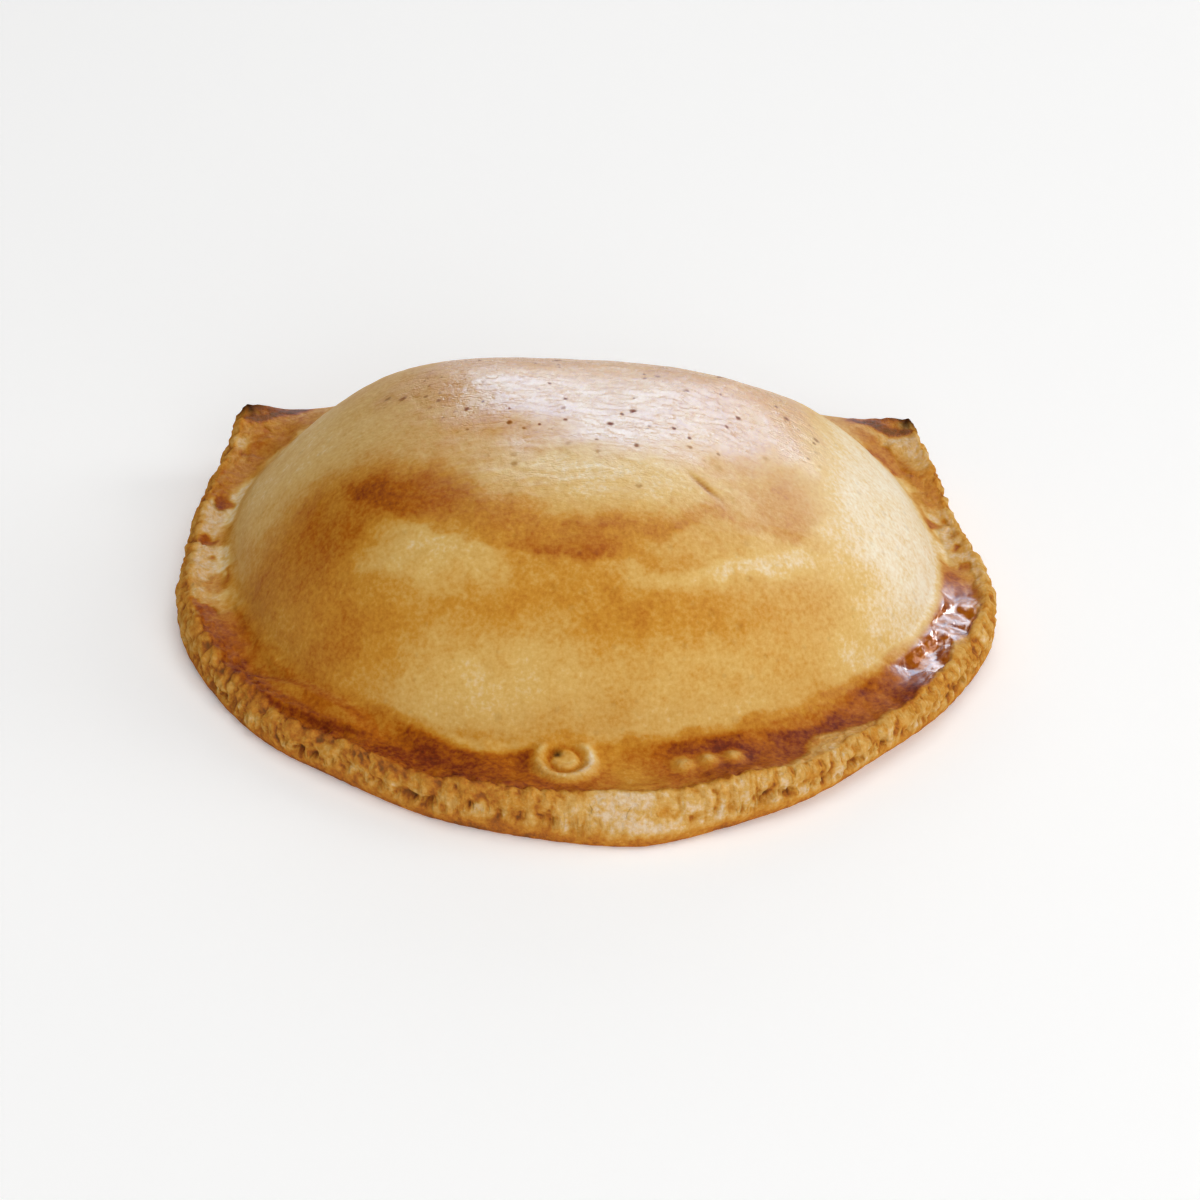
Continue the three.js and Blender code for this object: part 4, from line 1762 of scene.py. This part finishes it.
@dataclass(frozen=True)
class CrustFinish:
    """Baked, egg-washed dough: colour by how brown it is, gloss by the wash, and dry crumb on the rim."""

    name: str = "baked_crust"
    cream: Colour = linear(243, 227, 198)
    straw: Colour = linear(226, 185, 106)
    golden: Colour = linear(206, 143, 46)
    orange_brown: Colour = linear(178, 97, 14)
    red_brown: Colour = linear(128, 52, 16)
    dark_brown: Colour = linear(64, 22, 11)
    biscuit: Colour = linear(213, 148, 78)
    # Near black, for scorch, cracks and painted shade in holes.
    scorch_and_shade: Colour = linear(38, 18, 12)
    speck: Colour = linear(120, 58, 38)
    warm_shine: Colour = (1.0, 0.6, 0.44)
    noise_roughness: float = 0.6
    mottle_scale: float = 620.0
    grain_scale: float = 1500.0
    grain_share: float = 2.0
    contrasts: Pair = (0.2, 0.34)
    crumb_tint: float = 0.3
    speck_scale: float = 520.0
    speck_stray: Pair = (1400.0, 0.0006)
    speck_picks: Pair = (0.52, 0.57)
    speck_spread: Pair = (0.75, 2.2)
    speck_edge: Pair = (0.15, 0.32)
    speck_strengths: Pair = (0.9, 0.0)
    speck_dulling: float = -0.6
    wrinkle_scales: tuple[float, float, float] = (190.0, 520.0, 520.0)
    wrinkle_width: float = 0.05
    wrinkle_depth: float = 0.09
    crack_scale: float = 240.0
    crack_stray: Pair = (600.0, 0.0016)
    crack_width: float = 0.025
    crack_depth: float = 0.4
    crack_tint: float = 0.2
    gap_scale: float = 820.0
    gap_stretch: float = 0.0022
    gap_edge: Pair = (0.47, 0.6)
    # Painted shade in the gaps of the seam.
    gap_shade: float = 0.34
    roughnesses: Pair = (0.86, 0.14)
    rough_mottle: float = 0.16
    washed_gloss: Pair = (0.25, 0.86)
    washed_shine: float = 0.5
    glazed_gloss: Pair = (0.86, 0.98)
    glazed_shine: float = 0.55
    bump_depth: float = 0.0005
    bump_depths: Pair = (0.25, 1.6)
    bump_strength: float = 0.8
    bump_grain: float = 0.5
    refraction: float = 1.5
    subsurface: float = 0.08
    subsurface_radius: Colour = (1.0, 0.45, 0.18)
    subsurface_scale: float = 0.0015

    def material(self) -> bpy.types.Material:
        """Builds the node material.

        Returns:
            The material.
        """
        wiring = Wiring(self.name)
        place = wiring.add("ShaderNodeTexCoord").outputs["Object"]
        mottle = wiring.noise(place, self.mottle_scale, 5.0, self.noise_roughness).outputs["Fac"]
        grain = wiring.noise(place, self.grain_scale, 3.0, self.noise_roughness).outputs["Fac"]
        cracks = self._cracks(wiring, place)
        gaps = self._gaps(wiring)
        specks = self._specks(wiring, place)
        colour = self._colour(wiring, mottle, grain, gaps)
        crumb = wiring.times(wiring.trait(Trait.CRUMB), self.crumb_tint)
        colour = wiring.tint(crumb, colour, (*self.biscuit, 1.0))
        colour = wiring.tint(specks, colour, (*self.speck, 1.0))
        colour = wiring.tint(wiring.trait(Trait.CHAR), colour, (*self.scorch_and_shade, 1.0))
        colour = wiring.tint(wiring.times(cracks, self.crack_tint), colour, (*self.scorch_and_shade, 1.0))
        gloss = wiring.sum(specks, self.speck_dulling, wiring.trait(Trait.GLOSS))
        rough = wiring.between(gloss, (0.0, 1.0), self.roughnesses)
        rough = wiring.sum(mottle, self.rough_mottle, wiring.sum(rough, 1.0, -self.rough_mottle / 2))
        clefts = wiring.sum(cracks, self.crack_depth, gaps)
        clefts = wiring.sum(self._wrinkles(wiring, place), self.wrinkle_depth, clefts)
        normal = self._bump(wiring, mottle, grain, clefts)
        glazed = wiring.between(gloss, self.glazed_gloss)
        washed = wiring.between(gloss, self.washed_gloss, (0.0, self.washed_shine))
        shine = wiring.sum(glazed, self.glazed_shine, washed)
        warm = wiring.tint(glazed, (1.0,) * 4, (*self.warm_shine, 1.0))
        shader = wiring.add(
            "ShaderNodeBsdfPrincipled",
            {
                "Base Color": colour,
                "Roughness": rough,
                "Normal": normal,
                "IOR": self.refraction,
                "Specular IOR Level": shine,
                "Specular Tint": warm,
                "Subsurface Weight": self.subsurface,
                "Subsurface Radius": self.subsurface_radius,
                "Subsurface Scale": self.subsurface_scale,
            },
        )
        wiring.add("ShaderNodeOutputMaterial", {"Surface": shader.outputs[0]})
        return wiring.material

    def _colour(self, wiring: Wiring, mottle: object, grain: object, gaps: object) -> bpy.types.NodeSocket:
        """Colour of the crust: the browning share, broken up by mottle and grain, more so in dry crumb, and
        darkened by painted shade in the gaps of the seam, read off a ramp.

        Args:
            wiring: the material under way.
            mottle: output of the coarse noise.
            grain: output of the fine noise.
            gaps: output of the share of the seam's gaps.

        Returns:
            The colour's output.
        """
        contrast = wiring.between(wiring.trait(Trait.CRUMB), (0.0, 1.0), self.contrasts)
        both = wiring.sum(grain, self.grain_share, mottle)
        mean = (1.0 + self.grain_share) / 2
        uneven = wiring.sum(both, contrast, wiring.sum(contrast, -mean, 0.0))
        level = wiring.sum(uneven, 1.0, wiring.trait(Trait.BAKE))
        # Painted shade: the gaps of the seam are darkened.
        level = wiring.sum(gaps, self.gap_shade, level)
        ramp = wiring.add("ShaderNodeValToRGB", {"Fac": level})
        stops = (
            (0.0, self.cream),
            (0.24, self.straw),
            (0.5, self.golden),
            (0.7, self.orange_brown),
            (0.86, self.red_brown),
            (1.0, self.dark_brown),
        )
        elements = ramp.color_ramp.elements
        for position, colour in stops[1:-1]:
            elements.new(position).color = (*colour, 1.0)
        elements[0].color = (*stops[0][1], 1.0)
        elements[len(stops) - 1].color = (*stops[-1][1], 1.0)
        return ramp.outputs["Color"]

    def _specks(self, wiring: Wiring, place: object) -> bpy.types.NodeSocket:
        """Small brown specks, one in some of the cells of a scatter, only where the skin is specked.

        Args:
            wiring: the material under way.
            place: output of the object coordinates.

        Returns:
            The output of the share of a speck.
        """
        inputs = {"Vector": wiring.stray(place, *self.speck_stray), "Scale": self.speck_scale}
        scatter = wiring.add("ShaderNodeTexVoronoi", inputs)
        picks = wiring.add("ShaderNodeSeparateColor", {"Color": scatter.outputs["Color"]})
        picked = wiring.between(picks.outputs[0], self.speck_picks)
        spread = wiring.between(picks.outputs[1], (0.0, 1.0), self.speck_spread)
        away = wiring.times(scatter.outputs["Distance"], spread)
        spots = wiring.between(away, self.speck_edge, self.speck_strengths)
        return wiring.times(wiring.times(spots, picked), wiring.trait(Trait.SPECK))

    def _wrinkles(self, wiring: Wiring, place: object) -> bpy.types.NodeSocket:
        """Fine wrinkles of the dried wash, where noise drawn out along X crosses its middle; only on the
        specked skin.

        Args:
            wiring: the material under way.
            place: output of the object coordinates.

        Returns:
            The output of the share of a wrinkle.
        """
        drawn = wiring.add("ShaderNodeVectorMath", {0: place, 1: self.wrinkle_scales}, operation="MULTIPLY")
        noise = wiring.noise(drawn.outputs[0], 1.0, 3.0, self.noise_roughness).outputs["Fac"]
        from_middle = wiring.sum(noise, 1.0, -0.5)
        off = wiring.add("ShaderNodeMath", {0: from_middle}, operation="ABSOLUTE").outputs[0]
        lines = wiring.between(off, (0.0, self.wrinkle_width), (1.0, 0.0))
        return wiring.times(lines, wiring.trait(Trait.SPECK))

    def _bump(self, wiring: Wiring, mottle: object, grain: object, clefts: object) -> bpy.types.NodeSocket:
        """Fine bump: pores all over, much deeper crumb where the rim is dry, and clefts.

        Args:
            wiring: the material under way.
            mottle: output of the coarse noise.
            grain: output of the fine noise.
            clefts: output of the depth of cracks, gaps and wrinkles.

        Returns:
            The normal's output.
        """
        depth = wiring.between(wiring.trait(Trait.CRUMB), (0.0, 1.0), self.bump_depths)
        height = wiring.times(wiring.sum(grain, self.bump_grain, mottle), depth)
        height = wiring.sum(clefts, -1.0, height)
        inputs = {"Height": height, "Distance": self.bump_depth, "Strength": self.bump_strength}
        return wiring.add("ShaderNodeBump", inputs).outputs["Normal"]

    def _gaps(self, wiring: Wiring) -> bpy.types.NodeSocket:
        """Narrow gaps between upright pillars in the open seam, drawn on the rim's own length and level.

        Args:
            wiring: the material under way.

        Returns:
            The output of the share of a gap.
        """
        level = wiring.times(wiring.trait(Trait.LEVEL), self.gap_stretch)
        place = wiring.add("ShaderNodeCombineXYZ", {"X": wiring.trait(Trait.ALONG), "Y": level})
        upright = wiring.noise(place.outputs[0], self.gap_scale, 2.0, self.noise_roughness).outputs["Fac"]
        return wiring.times(wiring.between(upright, self.gap_edge), wiring.trait(Trait.SEAM))

    def _cracks(self, wiring: Wiring, place: object) -> bpy.types.NodeSocket:
        """Thin cracks along the edges of wandering cells, only where the crust is crazed.

        Args:
            wiring: the material under way.
            place: output of the object coordinates.

        Returns:
            The output of the share of a crack.
        """
        inputs = {"Vector": wiring.stray(place, *self.crack_stray), "Scale": self.crack_scale}
        cells = wiring.add("ShaderNodeTexVoronoi", inputs, feature="DISTANCE_TO_EDGE")
        lines = wiring.between(cells.outputs["Distance"], (0.0, self.crack_width), (1.0, 0.0))
        return wiring.times(lines, wiring.trait(Trait.CRAZE))


@dataclass(frozen=True)
class FloorFinish:
    """Plain pale studio floor with the faintest unevenness and a little glow of its own."""

    name: str = "pale_floor"
    pale: Colour = (0.93, 0.925, 0.915)
    paler: Colour = (0.95, 0.945, 0.935)
    cloud_scale: float = 2.0
    roughness: float = 0.9
    glow: float = 0.17

    def material(self) -> bpy.types.Material:
        """Builds the node material.

        Returns:
            The material.
        """
        wiring = Wiring(self.name)
        place = wiring.add("ShaderNodeTexCoord").outputs["Object"]
        cloud = wiring.noise(place, self.cloud_scale).outputs["Fac"]
        colour = wiring.tint(cloud, (*self.pale, 1.0), (*self.paler, 1.0))
        inputs = {
            "Base Color": colour,
            "Roughness": self.roughness,
            "Specular IOR Level": 0.0,
            "Emission Strength": self.glow,
        }
        shader = wiring.add("ShaderNodeBsdfPrincipled", inputs)
        wiring.add("ShaderNodeOutputMaterial", {"Surface": shader.outputs[0]})
        return wiring.material


@dataclass(frozen=True)
class Empanada:
    """The whole pastry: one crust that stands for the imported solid."""

    form: CrustForm = field(default_factory=CrustForm)
    relief: Relief = field(default_factory=Relief)
    finish: CrustFinish = field(default_factory=CrustFinish)

    def build(self) -> bpy.types.Object:
        """Builds the crust, dresses it and puts it in the CAD node's place.

        Returns:
            The crust.
        """
        skin = self.form.skin()
        zones = Zones.of(skin)
        traits = Browning(self.relief).traits(skin, zones)
        skin.points = skin.points + skin.normals() * self.relief.height(skin, zones)[:, None]
        skin.points[:, 2] = np.maximum(skin.points[:, 2], 0.0)
        crust = SkinMesh("crust").build(skin, traits)
        crust.data.materials.append(self.finish.material())
        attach(crust, "root")
        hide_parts(CAD_NODE)
        log.info("crust: %d faces", len(crust.data.polygons))
        return crust


class Lights(Enum):
    """What a lamp shows in: everything, the shine of surfaces only, or everything but their shine."""

    ALL = 0
    GLEAM = 1
    MATT = 2


@dataclass(frozen=True)
class SoftBox:
    """A soft rectangular lamp aimed at the pastry; size and place in metres, power in watts."""

    name: str
    place: tuple[float, float, float]
    size: Pair
    power: float
    lights: Lights = Lights.ALL
    colour: Colour = (1.0, 1.0, 1.0)

    def build(self, target: Vector) -> bpy.types.Object:
        """Makes the lamp, unseen by the camera itself.

        Args:
            target: the place that the lamp faces.

        Returns:
            The lamp.
        """
        lamp = bpy.data.lights.new(self.name, "AREA")
        lamp.shape = "RECTANGLE"
        lamp.size, lamp.size_y = self.size
        lamp.energy = self.power
        lamp.color = self.colour
        made = bpy.data.objects.new(self.name, lamp)
        made.location = self.place
        made.rotation_mode = "QUATERNION"
        made.rotation_quaternion = (target - Vector(self.place)).to_track_quat("-Z", "Y")
        made.visible_camera = False
        made.visible_diffuse = self.lights is not Lights.GLEAM
        made.visible_glossy = self.lights is not Lights.MATT
        bpy.context.scene.collection.objects.link(made)
        return made


@dataclass(frozen=True)
class Studio:
    """Pale floor, soft lamps and the camera; places in metres, angles in degrees, the lens in millimetres."""

    floor_half: float = 6.0
    floor_drop: float = 0.00005
    target: tuple[float, float, float] = (0.0, 0.0, 0.012)
    window: SoftBox = SoftBox("window", (0.15, 1.3, 0.4), (1.4, 0.7), 5.0)
    gleam: SoftBox = SoftBox("gleam", (0.3, 1.05, 0.78), (1.15, 0.85), 29.0, Lights.GLEAM, (0.42, 0.71, 1.0))
    haze: SoftBox = SoftBox("haze", (0.13, 0.6, 1.15), (0.9, 0.5), 7.0, Lights.GLEAM, (0.6, 0.82, 1.0))
    side: SoftBox = SoftBox("side", (1.0, 0.7, 0.6), (0.34, 0.34), 18.0, Lights.GLEAM, (0.66, 0.84, 1.0))
    overhead: SoftBox = SoftBox("overhead", (0.1, -0.1, 1.2), (0.9, 0.9), 5.15, Lights.MATT)
    key: SoftBox = SoftBox("key", (0.95, 0.1, 0.5), (0.5, 0.5), 2.7)
    front: SoftBox = SoftBox("front", (0.3, -1.1, 0.6), (1.1, 0.7), 6.4, Lights.MATT)
    sky: Colour = (0.97, 0.98, 1.0)
    sky_strength: float = 0.2
    eye: tuple[float, float, float] = (-0.03828, -0.50472, 0.36)
    pitch_down: float = 36.4
    roll: float = 0.8
    aim: Pair = (0.0646, 0.0262)
    lens: float = 130.0
    sensor: float = 36.0
    near_limit: float = 0.01
    finish: FloorFinish = field(default_factory=FloorFinish)

    def build(self) -> None:
        """Builds floor, lights and camera."""
        self._floor()
        for lamp in (self.window, self.gleam, self.haze, self.side, self.overhead, self.key, self.front):
            lamp.build(Vector(self.target))
        self._sky()
        self._camera()
        bpy.context.scene.view_settings.view_transform = "Standard"

    def _floor(self) -> None:
        """A wide flat floor just under the pastry."""
        half = self.floor_half
        corners = np.array([[-half, -half], [half, -half], [half, half], [-half, half]])
        vertices = np.column_stack([corners, np.full(4, -self.floor_drop)])
        mesh = bpy.data.meshes.new("floor")
        mesh.from_pydata(vertices.tolist(), [], [(0, 1, 2, 3)])
        mesh.materials.append(self.finish.material())
        made = bpy.data.objects.new("floor", mesh)
        bpy.context.scene.collection.objects.link(made)

    def _sky(self) -> None:
        """Even pale light from all round, which doesn't show in the shine of surfaces."""
        world = bpy.data.worlds.new("studio")
        world.use_nodes = True
        background = world.node_tree.nodes["Background"]
        background.inputs["Color"].default_value = (*self.sky, 1.0)
        background.inputs["Strength"].default_value = self.sky_strength
        world.cycles_visibility.glossy = False
        bpy.context.scene.world = world

    def _camera(self) -> None:
        """The photograph's viewpoint, aimed at the pastry."""
        lens = bpy.data.cameras.new("camera")
        lens.sensor_width = self.sensor
        lens.lens = self.lens
        lens.clip_start = self.near_limit
        made = bpy.data.objects.new("camera", lens)
        made.location = self.eye
        level = Euler((math.radians(90.0 - self.pitch_down), 0.0, 0.0)).to_quaternion()
        rolled = level @ Quaternion((0.0, 0.0, 1.0), math.radians(self.roll))
        turn = Vector((0.0, 0.0, -1.0)).rotation_difference(Vector((*self.aim, -1.0)))
        made.rotation_mode = "QUATERNION"
        made.rotation_quaternion = rolled @ turn
        bpy.context.scene.collection.objects.link(made)
        bpy.context.scene.camera = made


def main() -> None:
    """Builds the pastry and the studio in order."""
    logging.basicConfig(level=logging.INFO)
    crust = Empanada().build()
    log.info("%s stands for %s", crust.name, CAD_NODE)
    Studio().build()
    log.info("studio built")


if __name__ == "__main__":
    main()
